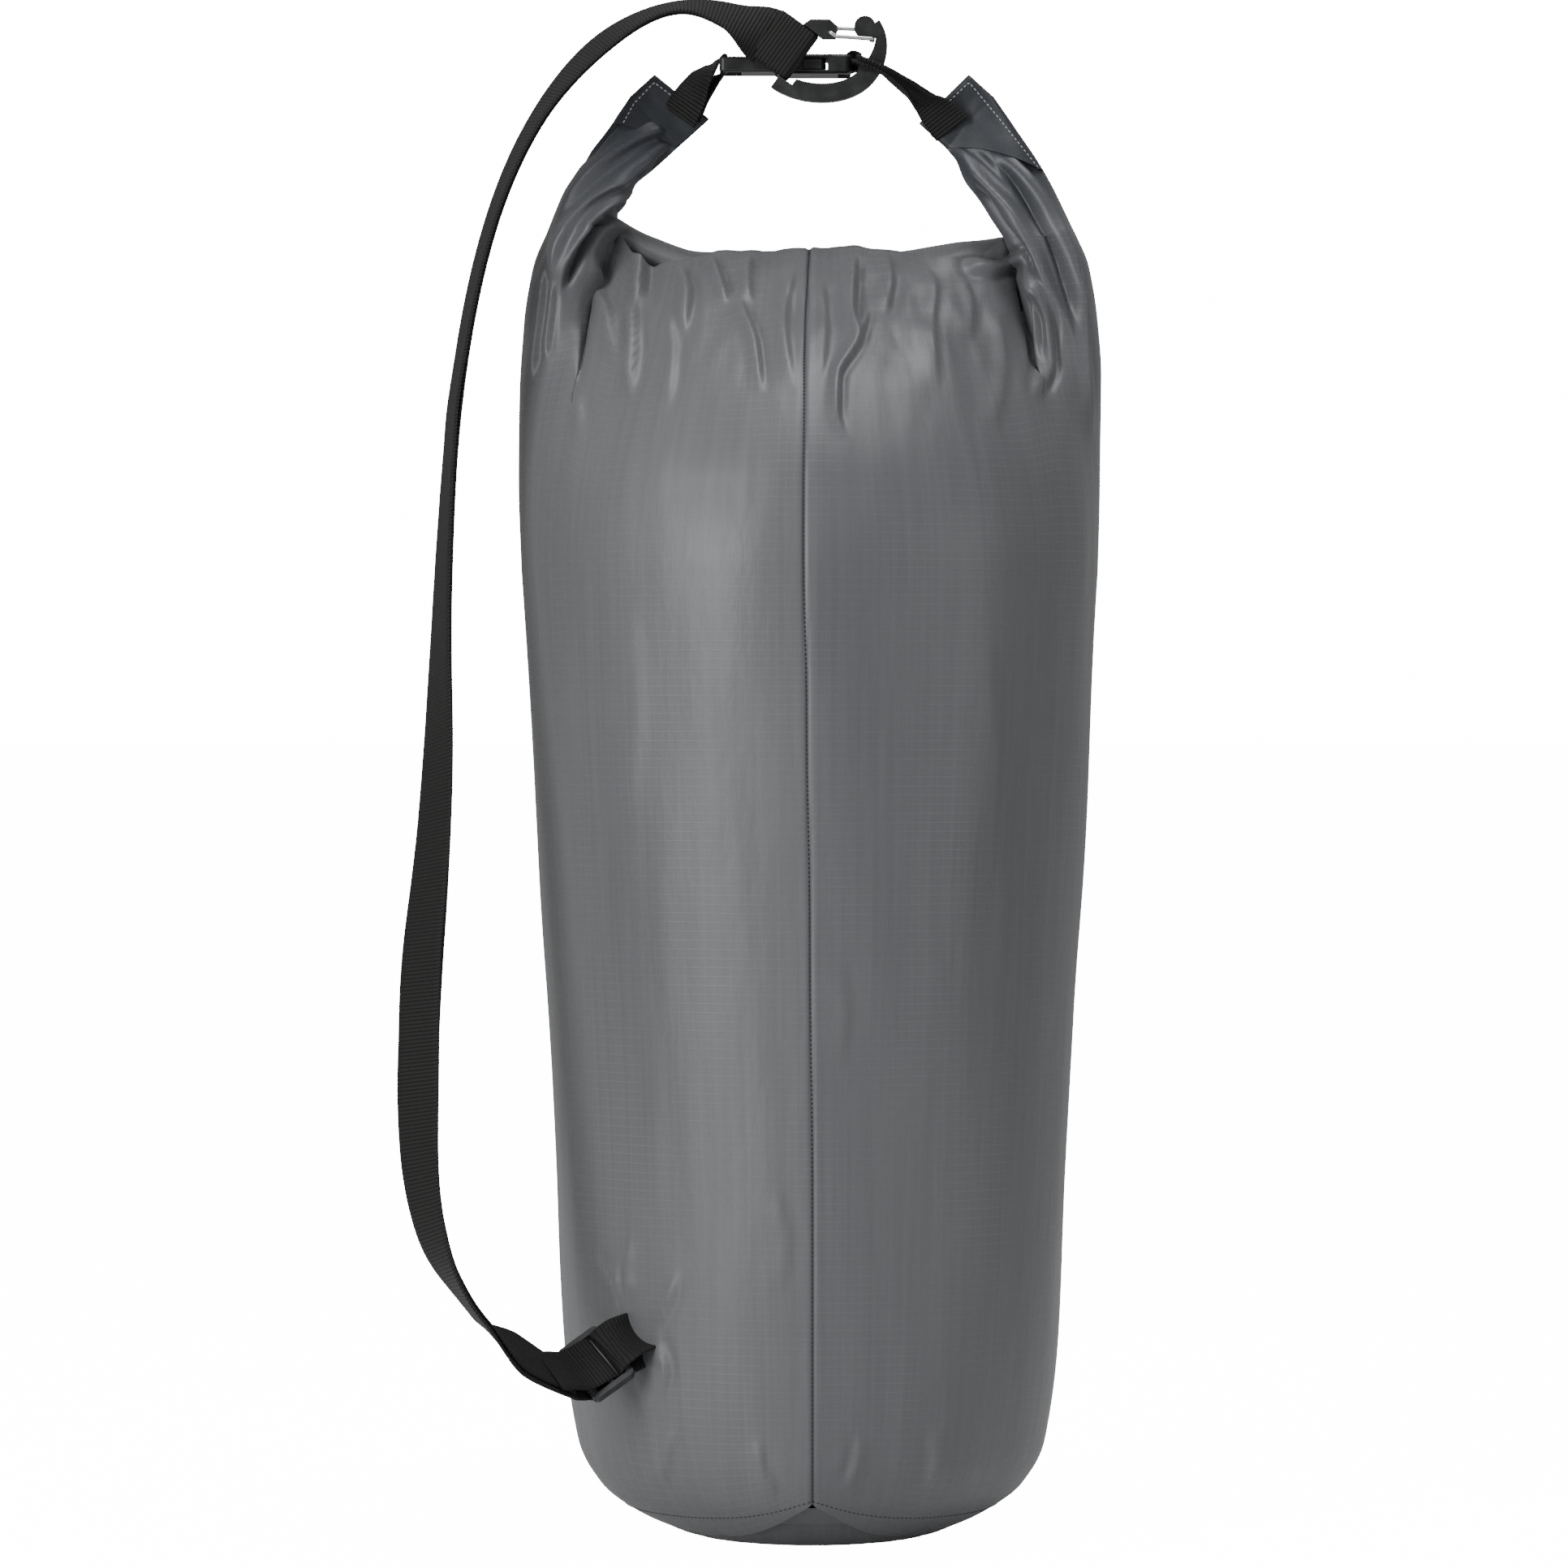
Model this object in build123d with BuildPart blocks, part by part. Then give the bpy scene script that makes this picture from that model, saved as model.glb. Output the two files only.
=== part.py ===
from build123d import *
import os
from math import pi, radians, tan

# Rope storage bag, standing full and rolled shut.
# Millimetres, +Z up, origin on the floor under the middle of the bag.
# -Y is the side of the bag with the long seam, +X is to the right when facing that side.

os.makedirs("parts", exist_ok=True)

# ---------------------------------------------------------------- driving dimensions
WALL = 2.0  # cloth wall, thickened so that it can collide
GAP = 0.05  # between sewn pieces of one body
CLEARANCE = 0.3  # between pieces that move on each other

# outer form of the full bag: height, half width and half depth of each level section
FLOOR_R = 48.0
BAG_FORM = [
    (0.0, FLOOR_R, FLOOR_R),
    (4.0, 61.0, 61.0),
    (12.0, 79.5, 79.5),
    (24.0, 96.0, 96.0),
    (44.0, 106.5, 106.5),
    (92.0, 113.0, 113.0),
    (170.0, 117.0, 117.0),
    (262.0, 121.5, 121.5),
    (350.0, 126.5, 126.5),
    (440.0, 131.0, 130.5),
    (480.0, 132.0, 121.0),
    (520.0, 131.5, 99.0),
    (550.0, 129.5, 63.0),
    (566.0, 126.0, 22.0),
]
BASE_ROUND = 30.0  # below this height an inset also lifts the form off the floor
BASE_SEAM_Z = 10.0
BAG_SIZE = 300.0  # longer than the bag is wide
MOUTH_Z = BAG_FORM[-1][0]
LONG_SEAM = (20.0, 550.0)  # lowest and highest stitch of the seam up the near side
LONG_TAPE = (30.0, 550.0)
TAPE_WIDTH = 22.0
BINDING = (-1.0, 13.0)  # lower and upper edge, from the base seam
BASE_STITCH_RISE = 3.0  # above the base seam

# rolled mouth
ROLL_HALF_LENGTH = 81.0
ROLL_CENTRE = (4.0, 576.5)
ROLL_DEPTH = 36.0
ROLL_HEIGHT = 19.6
STIFFENER_THICK = 1.2
STIFFENER_WIDTH = 26.0

# ears: height, middle, half width and half depth of each level section
EAR_SECTIONS = [
    (MOUTH_Z + CLEARANCE, 103.5, 21.5, 16.0),
    (588.0, 102.5, 18.5, 14.0),
    (604.0, 98.0, 15.5, 11.0),
    (622.0, 91.0, 14.5, 9.0),
]
EAR_TIP = (72.0, 644.5)
EAR_TIP_LEAN = 48.0
EAR_TIP_WIDTH = 32.0
EAR_TIP_DEPTH = 6.0
HEM_LENGTH = 15.0
HEM_THICK = 3.0

# webbing
TAB_WIDTH = 20.0
STRAP_WIDTH = 25.0
WEBBING = 1.5
THREAD = 0.4
TAB_SEWN = (1.0, 15.3)  # where the tabs lie on the hem ends, from the ear's tip
STITCH_BOX = (15.0, 10.0)
NECK_R = 2.8
NECK_BEND_R = 3.4
NECK_END = (4.5, 3.4)  # width and thickness where the gathered neck opens into flat webbing
LEFT_FOLD_REACH = 7.0
RIGHT_FOLD_REACH = 6.0
# the right tab's gathered neck, from the buckle through the hook to the hem end
RIGHT_NECK = [
    (21.0, 2.0, 670.2),
    (20.9, -8.0, 671.4),
    (20.5, -23.0, 672.0),
    (22.8, -30.8, 671.0),
    (33.0, -31.5, 667.0),
    (44.0, -22.0, 661.0),
    (51.0, -11.0, 657.5),
]

# side release buckle, lying along X
BUCKLE_Z = 670.0
BUCKLE_LEFT = -42.0
BUCKLE_JOIN = -14.0
BUCKLE_RIGHT = 18.0
SOCKET_WIDTH = 30.0
SOCKET_THICK = 9.0
CAVITY_WIDTH = 25.4
CAVITY_THICK = 5.4
PLUG_WIDTH = 26.0
PLUG_THICK = 7.0
BAR_R = 2.0
PRONG_HINGE = (-12.2, 8.6)
SOCKET_CORNER = 3.0
SOCKET_ROUND = 1.8
PLUG_CORNER = 2.5
PLUG_ROUND = 1.2
SOCKET_SLOT = 6.0  # length of each half's opening for the webbing
PLUG_SLOT = 10.0
TONGUE = (24.0, 5.0)
PLUG_PLAY = 0.5
PRONG_THICK = 4.4
PRONG_WIDTH = 3.0
BUTTON_REACH = (3.6, 5.6)  # how far each button stands out beside its prong, at its slope's two ends
BUTTON_PLAY = (0.3, 1.0)  # room for the button in its window, at the hinge and at the tip
BUTTON_SLOPE = 2.0
WINDOW = (-4.3, 7.4)

# webbing hook, flat in the XZ plane
HOOK_Y = -21.0
HOOK_THICK = 8.0
HOOK_BAR_TOP = Vector(0.3, HOOK_Y, 684.0)
HOOK_BAR_FOOT = Vector(-14.5, HOOK_Y, 663.6)
HOOK_BAR_R = 2.4
HOOK_SPINE = [(-16.0, 662.2), (8.0, 656.2), (22.5, 661.6), (28.9, 671.0), (29.6, 680.5), (27.0, 686.5)]
HOOK_SPINE_WIDTH = 8.4
HOOK_NOSE = (24.0, 686.0)
HOOK_NOSE_R = 4.8
HOOK_LUG = [(-5.2, 686.0), (-0.7, 689.2), (8.1, 689.2), (11.7, 686.0), (10.9, 680.6), (3.2, 680.6)]
WIRE_R = 0.9
GATE_PIVOT = (8.0, 683.3)
GATE_SIDE = 5.4  # from the middle of the hook to each leg of the wire
GATE_PIN = 2.0  # depth of each wire end in the lug
GATE_NEAR_LEG = [(11.0, 681.3), (27.6, 680.2)]
GATE_FAR_LEG = [(20.0, 685.5), (12.0, 685.9)]
GATE_SWEEP_R = 21.0
NOTCH = (18.0, 10.0)  # width and height of the nose's notch, and its middle
NOTCH_MIDDLE = (GATE_PIVOT[0] + 14.0, HOOK_NOSE[1] - HOOK_NOSE_R - 5.0)
FOLD_ROOM = 2.5  # round the webbing on the hook's bar
GATE_BEND_R = 1.3
UPPER_FOLD_REACH = 13.0

# strap slide and lower tab, on the near left of the bag
SLIDE_CENTRE = Vector(-96.0, -89.5, 86.8)
SLIDE_ALONG = Vector(0.805, 0.247, 0.543)
SLIDE_OUT = Vector(-0.151, -0.828, 0.542)
SLIDE_LENGTH = 22.4
SLIDE_WIDTH = 31.0
SLIDE_THICK = 4.4
SLIDE_BAR_AT = 9.0
SLIDE_BAR_R = 2.2
SLIDE_CORNER = 3.0
SLIDE_MIDDLE_BAR = 2.2
SLIDE_END_CUT = 3.0  # the flat frame stops short of the round end bars
LOWER_TAB_ROOT = Vector(-78.4, -81.7, 98.8)
BARTACK_AT = 17.5  # from the middle of the lower tab's root
BARTACK_R = 2.4
PATCH_SIZE = 44.0
PATCH_CORNER = 6.0
TAB_ROOT_SINK = 4.0  # how far the tab runs on past its root, before it is cut to the bag's wall

# route of the doubled shoulder strap, from the hook to the slide
STRAP_TUBE_R = 5.0
STRAP_ROUTE = [
    (-19.0, -21.0, 682.5),
    (-38.0, -21.0, 693.5),
    (-66.0, -21.5, 696.5),
    (-99.0, -23.0, 678.0),
    (-128.5, -26.0, 641.0),
    (-149.0, -34.0, 588.0),
    (-161.5, -48.0, 515.0),
    (-166.0, -68.0, 425.0),
    (-167.0, -92.0, 335.0),
    (-175.5, -118.0, 225.0),
    (-172.0, -131.0, 150.0),
    (-147.0, -131.0, 110.0),
    (-128.0, -118.5, 93.0),
    (-110.5, -99.8, 82.0),
]
ARC_SHARE = 0.45


# ---------------------------------------------------------------- shared forms
def bag_form(inset):
    """The full bag's solid form up to its mouth, smaller all round by inset."""
    with BuildPart() as form:
        for height, half_width, half_depth in BAG_FORM:
            lift = inset * max(0.0, 1 - height / BASE_ROUND)
            with BuildSketch(Plane.XY.offset(height + lift)):
                Ellipse(half_width - inset, half_depth - inset)
        loft()
    return form.part


def skin(low, high):
    """The layer of the bag's wall between two insets."""
    with BuildPart() as layer:
        add(bag_form(low))
        add(bag_form(high), mode=Mode.SUBTRACT)
    return layer.part


def near_strip(width, low, high):
    """Upright block through the middle of the near wall."""
    with BuildPart() as strip:
        with Locations((0, -BAG_SIZE / 4, (low + high) / 2)):
            Box(width, BAG_SIZE / 2, high - low)
    return strip.part


def webbing_fold(bar_plane, bar_r, width, reach):
    """Webbing folded round a bar: the plane's z is along the bar, its x towards the strap."""
    with BuildPart() as fold:
        with BuildSketch(bar_plane.offset(-width / 2)):
            Circle(bar_r + WEBBING)
            with Locations((reach - WEBBING, 0)):
                Rectangle(2 * WEBBING, 2 * WEBBING)
            make_hull()
        extrude(amount=width)
        with BuildSketch(bar_plane.offset(-width / 2)):
            Circle(bar_r)
            with Locations((reach / 2, 0)):
                Circle(GAP)
            make_hull()
        extrude(amount=width, mode=Mode.SUBTRACT)
    return fold.part


# ---------------------------------------------------------------- cloth of the body
outer_skin = skin(0, WALL)

with BuildPart() as body_panel:
    add(outer_skin)
    split(bisect_by=Plane.XY.offset(BASE_SEAM_Z), keep=Keep.TOP)
body_panel.part.label = "body_panel"
export_step(body_panel.part, "parts/body_panel.step")

with BuildPart() as base_panel:
    add(outer_skin)
    split(bisect_by=Plane.XY.offset(BASE_SEAM_Z - GAP), keep=Keep.BOTTOM)
base_panel.part.label = "base_panel"
export_step(base_panel.part, "parts/base_panel.step")

with BuildPart() as back_seam_stitching:
    add(skin(-GAP - THREAD, -GAP))
    add(near_strip(2 * THREAD, *LONG_SEAM), mode=Mode.INTERSECT)
back_seam_stitching.part.label = "back_seam_stitching"
export_step(back_seam_stitching.part, "parts/back_seam_stitching.step")

with BuildPart() as back_seam_tape:
    add(skin(WALL + GAP, WALL + GAP + THREAD))
    add(near_strip(TAPE_WIDTH, *LONG_TAPE), mode=Mode.INTERSECT)
back_seam_tape.part.label = "back_seam_tape"
export_step(back_seam_tape.part, "parts/back_seam_tape.step")

with BuildPart() as base_seam_binding:
    add(skin(WALL + GAP, WALL + GAP + WEBBING))
    with Locations((0, 0, BASE_SEAM_Z + sum(BINDING) / 2)):
        Box(BAG_SIZE, BAG_SIZE, BINDING[1] - BINDING[0], mode=Mode.INTERSECT)
base_seam_binding.part.label = "base_seam_binding"
export_step(base_seam_binding.part, "parts/base_seam_binding.step")

with BuildPart() as base_seam_stitching:
    add(skin(-GAP - THREAD, -GAP))
    with Locations((0, 0, BASE_SEAM_Z + BASE_STITCH_RISE)):
        Box(BAG_SIZE, BAG_SIZE, 2 * THREAD, mode=Mode.INTERSECT)
base_seam_stitching.part.label = "base_seam_stitching"
export_step(base_seam_stitching.part, "parts/base_seam_stitching.step")

with BuildPart() as mouth_roll:
    with BuildSketch(Plane.YZ.offset(-ROLL_HALF_LENGTH)):
        with Locations(ROLL_CENTRE):
            Ellipse(ROLL_DEPTH / 2, ROLL_HEIGHT / 2)
            Rectangle(STIFFENER_WIDTH + 2 * GAP, STIFFENER_THICK + 2 * GAP, mode=Mode.SUBTRACT)
    extrude(amount=2 * ROLL_HALF_LENGTH)
mouth_roll.part.label = "mouth_roll"
export_step(mouth_roll.part, "parts/mouth_roll.step")

with BuildPart() as mouth_stiffener:
    with BuildSketch(Plane.YZ.offset(-ROLL_HALF_LENGTH)):
        with Locations(ROLL_CENTRE):
            Rectangle(STIFFENER_WIDTH, STIFFENER_THICK)
    extrude(amount=2 * ROLL_HALF_LENGTH)
mouth_stiffener.part.label = "mouth_stiffener"
export_step(mouth_stiffener.part, "parts/mouth_stiffener.step")


# ---------------------------------------------------------------- ears and hem ends
def tip_plane(side):
    """Plane across an ear's tip: its z points along the ear, its x across it in the XZ plane."""
    lean = Vector(0, 0, 1).rotate(Axis.Y, -side * EAR_TIP_LEAN)
    return Plane(origin=(side * EAR_TIP[0], 0, EAR_TIP[1]), x_dir=lean.cross(Vector(0, 1, 0)), z_dir=lean)


def ear(side):
    """Rolled end of the mouth, bent up: side is -1 for the left and 1 for the right."""
    with BuildPart() as form:
        for height, middle, half_width, half_depth in EAR_SECTIONS:
            with BuildSketch(Plane.XY.offset(height)):
                with Locations((side * middle, 0)):
                    Ellipse(half_width, half_depth)
        with BuildSketch(tip_plane(side)):
            Ellipse(EAR_TIP_WIDTH / 2, EAR_TIP_DEPTH / 2)
        loft()
    return form.part


def hem_end(side):
    """Flat sewn end of the mouth hem, beyond the ear's tip."""
    with BuildPart() as form:
        with BuildSketch(tip_plane(side).offset(GAP)):
            Rectangle(EAR_TIP_WIDTH, HEM_THICK)
        extrude(amount=HEM_LENGTH)
    return form.part


with BuildPart() as left_ear:
    add(ear(-1))
left_ear.part.label = "left_ear"
export_step(left_ear.part, "parts/left_ear.step")

with BuildPart() as right_ear:
    add(ear(1))
right_ear.part.label = "right_ear"
export_step(right_ear.part, "parts/right_ear.step")

with BuildPart() as left_hem_end:
    add(hem_end(-1))
left_hem_end.part.label = "left_hem_end"
export_step(left_hem_end.part, "parts/left_hem_end.step")

with BuildPart() as right_hem_end:
    add(hem_end(1))
right_hem_end.part.label = "right_hem_end"
export_step(right_hem_end.part, "parts/right_hem_end.step")


# ---------------------------------------------------------------- side release buckle
def buckle_bar(x, width):
    """Round bar across one end of the buckle, for the webbing."""
    with BuildPart() as bar:
        with BuildSketch(Plane.XZ.offset(-width / 2)):
            with Locations((x, BUCKLE_Z)):
                Circle(BAR_R)
        extrude(amount=width)
    return bar.part


with BuildPart() as buckle_socket:
    with BuildSketch(Plane.XY.offset(BUCKLE_Z)):
        with Locations(((BUCKLE_JOIN + BUCKLE_RIGHT) / 2, 0)):
            RectangleRounded(BUCKLE_RIGHT - BUCKLE_JOIN, SOCKET_WIDTH, SOCKET_CORNER)
    extrude(amount=SOCKET_THICK / 2, both=True)
    fillet(buckle_socket.edges().group_by(Axis.Z)[-1], SOCKET_ROUND)
    fillet(buckle_socket.edges().group_by(Axis.Z)[0], SOCKET_ROUND)
    # cavity for the plug, open at the left
    cavity_length = WINDOW[1] + 1 - BUCKLE_JOIN
    with Locations((BUCKLE_JOIN + cavity_length / 2, 0, BUCKLE_Z)):
        Box(cavity_length, CAVITY_WIDTH, CAVITY_THICK, mode=Mode.SUBTRACT)
    # side windows for the two buttons
    with Locations(((WINDOW[0] + WINDOW[1]) / 2, 0, BUCKLE_Z)):
        Box(WINDOW[1] - WINDOW[0], SOCKET_WIDTH + 1, CAVITY_THICK, mode=Mode.SUBTRACT)
    # webbing slot at the right, crossed by the round bar
    with Locations((BUCKLE_RIGHT - SOCKET_SLOT / 2, 0, BUCKLE_Z)):
        Box(SOCKET_SLOT + GAP, TAB_WIDTH + 1, SOCKET_THICK + 1, mode=Mode.SUBTRACT)
    add(buckle_bar(BUCKLE_RIGHT - BAR_R, SOCKET_WIDTH - 4))
buckle_socket.part.label = "buckle_socket"
export_step(buckle_socket.part, "parts/buckle_socket.step")

with BuildPart() as buckle_plug:
    plug_length = BUCKLE_JOIN - PLUG_PLAY - BUCKLE_LEFT
    with BuildSketch(Plane.XY.offset(BUCKLE_Z)):
        with Locations((BUCKLE_LEFT + plug_length / 2, 0)):
            RectangleRounded(plug_length, PLUG_WIDTH, PLUG_CORNER)
    extrude(amount=PLUG_THICK / 2, both=True)
    fillet(buckle_plug.edges().group_by(Axis.Z)[-1], PLUG_ROUND)
    fillet(buckle_plug.edges().group_by(Axis.Z)[0], PLUG_ROUND)
    with Locations((BUCKLE_LEFT + PLUG_SLOT / 2, 0, BUCKLE_Z)):
        Box(PLUG_SLOT + GAP, TAB_WIDTH + 1, PLUG_THICK + 1, mode=Mode.SUBTRACT)
    # guide tongue between the two prongs
    with Locations((BUCKLE_JOIN + 4.0, 0, BUCKLE_Z)):
        Box(*TONGUE, PRONG_THICK)
    add(buckle_bar(BUCKLE_LEFT + BAR_R, PLUG_WIDTH - 3))
buckle_plug.part.label = "buckle_plug"
export_step(buckle_plug.part, "parts/buckle_plug.step")


def prong(side):
    """Spring arm of the plug with its button: side is -1 for the near and 1 for the far one."""
    hinge_x, hinge_y = PRONG_HINGE
    half = PRONG_WIDTH / 2
    root_x = hinge_x - half - CLEARANCE
    tip_x = WINDOW[1] - BUTTON_PLAY[1]
    button_x = WINDOW[0] + BUTTON_PLAY[0]
    with BuildPart() as arm:
        with BuildSketch(Plane.XY.offset(BUCKLE_Z - PRONG_THICK / 2)):
            with BuildLine():
                Polyline(
                    (root_x, side * (hinge_y - half)),
                    (tip_x, side * (hinge_y - half)),
                    (tip_x, side * (hinge_y + BUTTON_REACH[0])),
                    (tip_x - BUTTON_SLOPE, side * (hinge_y + BUTTON_REACH[1])),
                    (button_x, side * (hinge_y + BUTTON_REACH[1])),
                    (button_x, side * (hinge_y + half)),
                    (root_x, side * (hinge_y + half)),
                    close=True,
                )
            make_face()
        extrude(amount=PRONG_THICK)
    return arm.part


with BuildPart() as buckle_near_prong:
    add(prong(-1))
buckle_near_prong.part.label = "buckle_near_prong"
export_step(buckle_near_prong.part, "parts/buckle_near_prong.step")

with BuildPart() as buckle_far_prong:
    add(prong(1))
buckle_far_prong.part.label = "buckle_far_prong"
export_step(buckle_far_prong.part, "parts/buckle_far_prong.step")


# ---------------------------------------------------------------- webbing hook
hook_bar_line = HOOK_BAR_TOP - HOOK_BAR_FOOT
hook_bar_middle = (HOOK_BAR_TOP + HOOK_BAR_FOOT) * 0.5
strap_side = Vector(-hook_bar_line.Z, 0, hook_bar_line.X)
hook_bar_plane = Plane(origin=hook_bar_middle, x_dir=strap_side, z_dir=hook_bar_line)
hook_far_face = Plane.XZ.offset(-HOOK_Y - HOOK_THICK / 2)

with BuildPart() as hook_body:
    with BuildSketch(hook_far_face):
        with BuildLine():
            Spline(*HOOK_SPINE)
        trace(line_width=HOOK_SPINE_WIDTH)
        with Locations(HOOK_NOSE):
            Circle(HOOK_NOSE_R)
        with BuildLine():
            Polyline(*HOOK_LUG, close=True)
        make_face()
    extrude(amount=HOOK_THICK)
    # room for the strap's fold round the bar
    with BuildSketch(hook_bar_plane.offset(-hook_bar_line.length / 2)):
        Circle(HOOK_BAR_R + 2 * WEBBING + FOLD_ROOM)
    extrude(amount=hook_bar_line.length, mode=Mode.SUBTRACT)
    with BuildSketch(hook_bar_plane.offset(-hook_bar_line.length / 2 - 1)):
        Circle(HOOK_BAR_R)
    extrude(amount=hook_bar_line.length + 2)
    # the nose's notch, where the gate's cross wire rests and swings
    with BuildSketch(hook_far_face.offset(-1)):
        with Locations(GATE_PIVOT):
            Circle(GATE_SWEEP_R)
        with Locations(NOTCH_MIDDLE):
            Rectangle(*NOTCH, mode=Mode.INTERSECT)
    extrude(amount=HOOK_THICK + 2, mode=Mode.SUBTRACT)
    # pivot hole of the gate
    with BuildSketch(hook_far_face.offset(-1)):
        with Locations(GATE_PIVOT):
            Circle(WIRE_R + GAP)
    extrude(amount=HOOK_THICK + 2, mode=Mode.SUBTRACT)
hook_body.part.label = "hook_body"
export_step(hook_body.part, "parts/hook_body.step")

near_leg_y = HOOK_Y - GATE_SIDE
far_leg_y = HOOK_Y + GATE_SIDE
pin_face = HOOK_THICK / 2 - GATE_PIN
gate_path = [
    (GATE_PIVOT[0], HOOK_Y - pin_face, GATE_PIVOT[1]),
    (GATE_PIVOT[0], near_leg_y, GATE_PIVOT[1]),
    *[(x, near_leg_y, z) for x, z in GATE_NEAR_LEG],
    (GATE_NEAR_LEG[-1][0], far_leg_y, GATE_NEAR_LEG[-1][1]),
    *[(x, far_leg_y, z) for x, z in GATE_FAR_LEG],
    (GATE_PIVOT[0], far_leg_y, GATE_PIVOT[1]),
    (GATE_PIVOT[0], HOOK_Y + pin_face, GATE_PIVOT[1]),
]
with BuildPart() as hook_gate:
    with BuildLine() as wire:
        FilletPolyline(*gate_path, radius=GATE_BEND_R)
    with BuildSketch(Plane(origin=wire.line @ 0, z_dir=wire.line % 0)):
        Circle(WIRE_R)
    sweep()
hook_gate.part.label = "hook_gate"
export_step(hook_gate.part, "parts/hook_gate.step")

with BuildPart() as strap_upper_fold:
    add(webbing_fold(hook_bar_plane, HOOK_BAR_R + CLEARANCE, STRAP_WIDTH - 2 * CLEARANCE, UPPER_FOLD_REACH))
strap_upper_fold.part.label = "strap_upper_fold"
export_step(strap_upper_fold.part, "parts/strap_upper_fold.step")


# ---------------------------------------------------------------- strap slide and lower tab
slide_plane = Plane(origin=SLIDE_CENTRE, x_dir=SLIDE_ALONG, z_dir=SLIDE_OUT)
slide_across = slide_plane.y_dir

with BuildPart() as strap_slide:
    with BuildSketch(slide_plane.offset(-SLIDE_THICK / 2)):
        RectangleRounded(SLIDE_LENGTH, SLIDE_WIDTH, SLIDE_CORNER)
        with Locations((-SLIDE_LENGTH / 4, 0), (SLIDE_LENGTH / 4, 0)):
            Rectangle(SLIDE_LENGTH / 2 - SLIDE_MIDDLE_BAR, STRAP_WIDTH + 1, mode=Mode.SUBTRACT)
        with Locations((-SLIDE_LENGTH / 2, 0), (SLIDE_LENGTH / 2, 0)):
            Rectangle(SLIDE_END_CUT, STRAP_WIDTH + 1, mode=Mode.SUBTRACT)
    extrude(amount=SLIDE_THICK)
    for side in (-1, 1):
        bar_origin = slide_plane.from_local_coords((side * SLIDE_BAR_AT, -SLIDE_WIDTH / 2 + 1, 0))
        with BuildSketch(Plane(origin=bar_origin, z_dir=slide_across)):
            Circle(SLIDE_BAR_R)
        extrude(amount=SLIDE_WIDTH - 2)
strap_slide.part.label = "strap_slide"
export_step(strap_slide.part, "parts/strap_slide.step")

tab_bar_middle = slide_plane.from_local_coords((SLIDE_BAR_AT, 0, 0))
tab_reach = LOWER_TAB_ROOT - tab_bar_middle
tab_plane = Plane(origin=tab_bar_middle, x_dir=tab_reach, z_dir=slide_across)
with BuildPart() as lower_tab:
    add(webbing_fold(tab_plane, SLIDE_BAR_R + CLEARANCE, STRAP_WIDTH, tab_reach.length + TAB_ROOT_SINK))
    add(bag_form(-GAP), mode=Mode.SUBTRACT)
lower_tab.part.label = "lower_tab"
export_step(lower_tab.part, "parts/lower_tab.step")

with BuildPart() as lower_tab_bartack:
    add(skin(-GAP - THREAD, -GAP))
    bartack_at = tab_bar_middle + tab_plane.x_dir * tab_reach.length - slide_across * BARTACK_AT
    with BuildSketch(Plane(origin=bartack_at, z_dir=LOWER_TAB_ROOT)):
        Circle(BARTACK_R)
    extrude(amount=PATCH_SIZE / 4, both=True, mode=Mode.INTERSECT)
lower_tab_bartack.part.label = "lower_tab_bartack"
export_step(lower_tab_bartack.part, "parts/lower_tab_bartack.step")

with BuildPart() as lower_tab_patch:
    add(skin(WALL + GAP, WALL + GAP + WEBBING))
    with BuildSketch(Plane(origin=LOWER_TAB_ROOT, z_dir=Vector(LOWER_TAB_ROOT.X, LOWER_TAB_ROOT.Y, 0))):
        RectangleRounded(PATCH_SIZE, PATCH_SIZE, PATCH_CORNER)
    extrude(amount=PATCH_SIZE / 2, both=True, mode=Mode.INTERSECT)
lower_tab_patch.part.label = "lower_tab_patch"
export_step(lower_tab_patch.part, "parts/lower_tab_patch.step")

strap_bar_middle = slide_plane.from_local_coords((-SLIDE_BAR_AT, 0, 0))
strap_pull = Vector(*STRAP_ROUTE[-1]) - strap_bar_middle
strap_fold_plane = Plane(origin=strap_bar_middle, x_dir=strap_pull, z_dir=slide_across)
with BuildPart() as strap_lower_fold:
    add(webbing_fold(strap_fold_plane, SLIDE_BAR_R + GAP, STRAP_WIDTH, strap_pull.length - 2 * WEBBING))
strap_lower_fold.part.label = "strap_lower_fold"
export_step(strap_lower_fold.part, "parts/strap_lower_fold.step")


# ---------------------------------------------------------------- shoulder strap
def arc_radii(points):
    """The largest tangent arc that each corner's two runs leave room for."""
    corners = [Vector(*point) for point in points]
    radii = []
    for before, corner, after in zip(corners, corners[1:], corners[2:]):
        half_turn = (corner - before).get_angle(after - corner) / 2
        shorter = min((corner - before).length, (after - corner).length)
        radii.append(ARC_SHARE * shorter / tan(radians(half_turn)))
    return radii


strap_radii = arc_radii(STRAP_ROUTE)
print("strap arc radii", [round(radius, 1) for radius in strap_radii])

with BuildPart() as shoulder_strap:
    with BuildLine() as strap_line:
        FilletPolyline(*STRAP_ROUTE, radius=strap_radii)
    with BuildSketch(Plane(origin=strap_line.line @ 0, z_dir=strap_line.line % 0)):
        Circle(STRAP_TUBE_R)
    sweep()
shoulder_strap.part.label = "shoulder_strap"
export_step(shoulder_strap.part, "parts/shoulder_strap.step")
strap_length = sum(edge.length for edge in strap_line.edges())
strap_section = pi * STRAP_TUBE_R**2
print("strap length", round(strap_length, 1), "volume over section times length",
      round(shoulder_strap.part.volume / strap_section / strap_length, 4))


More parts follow.
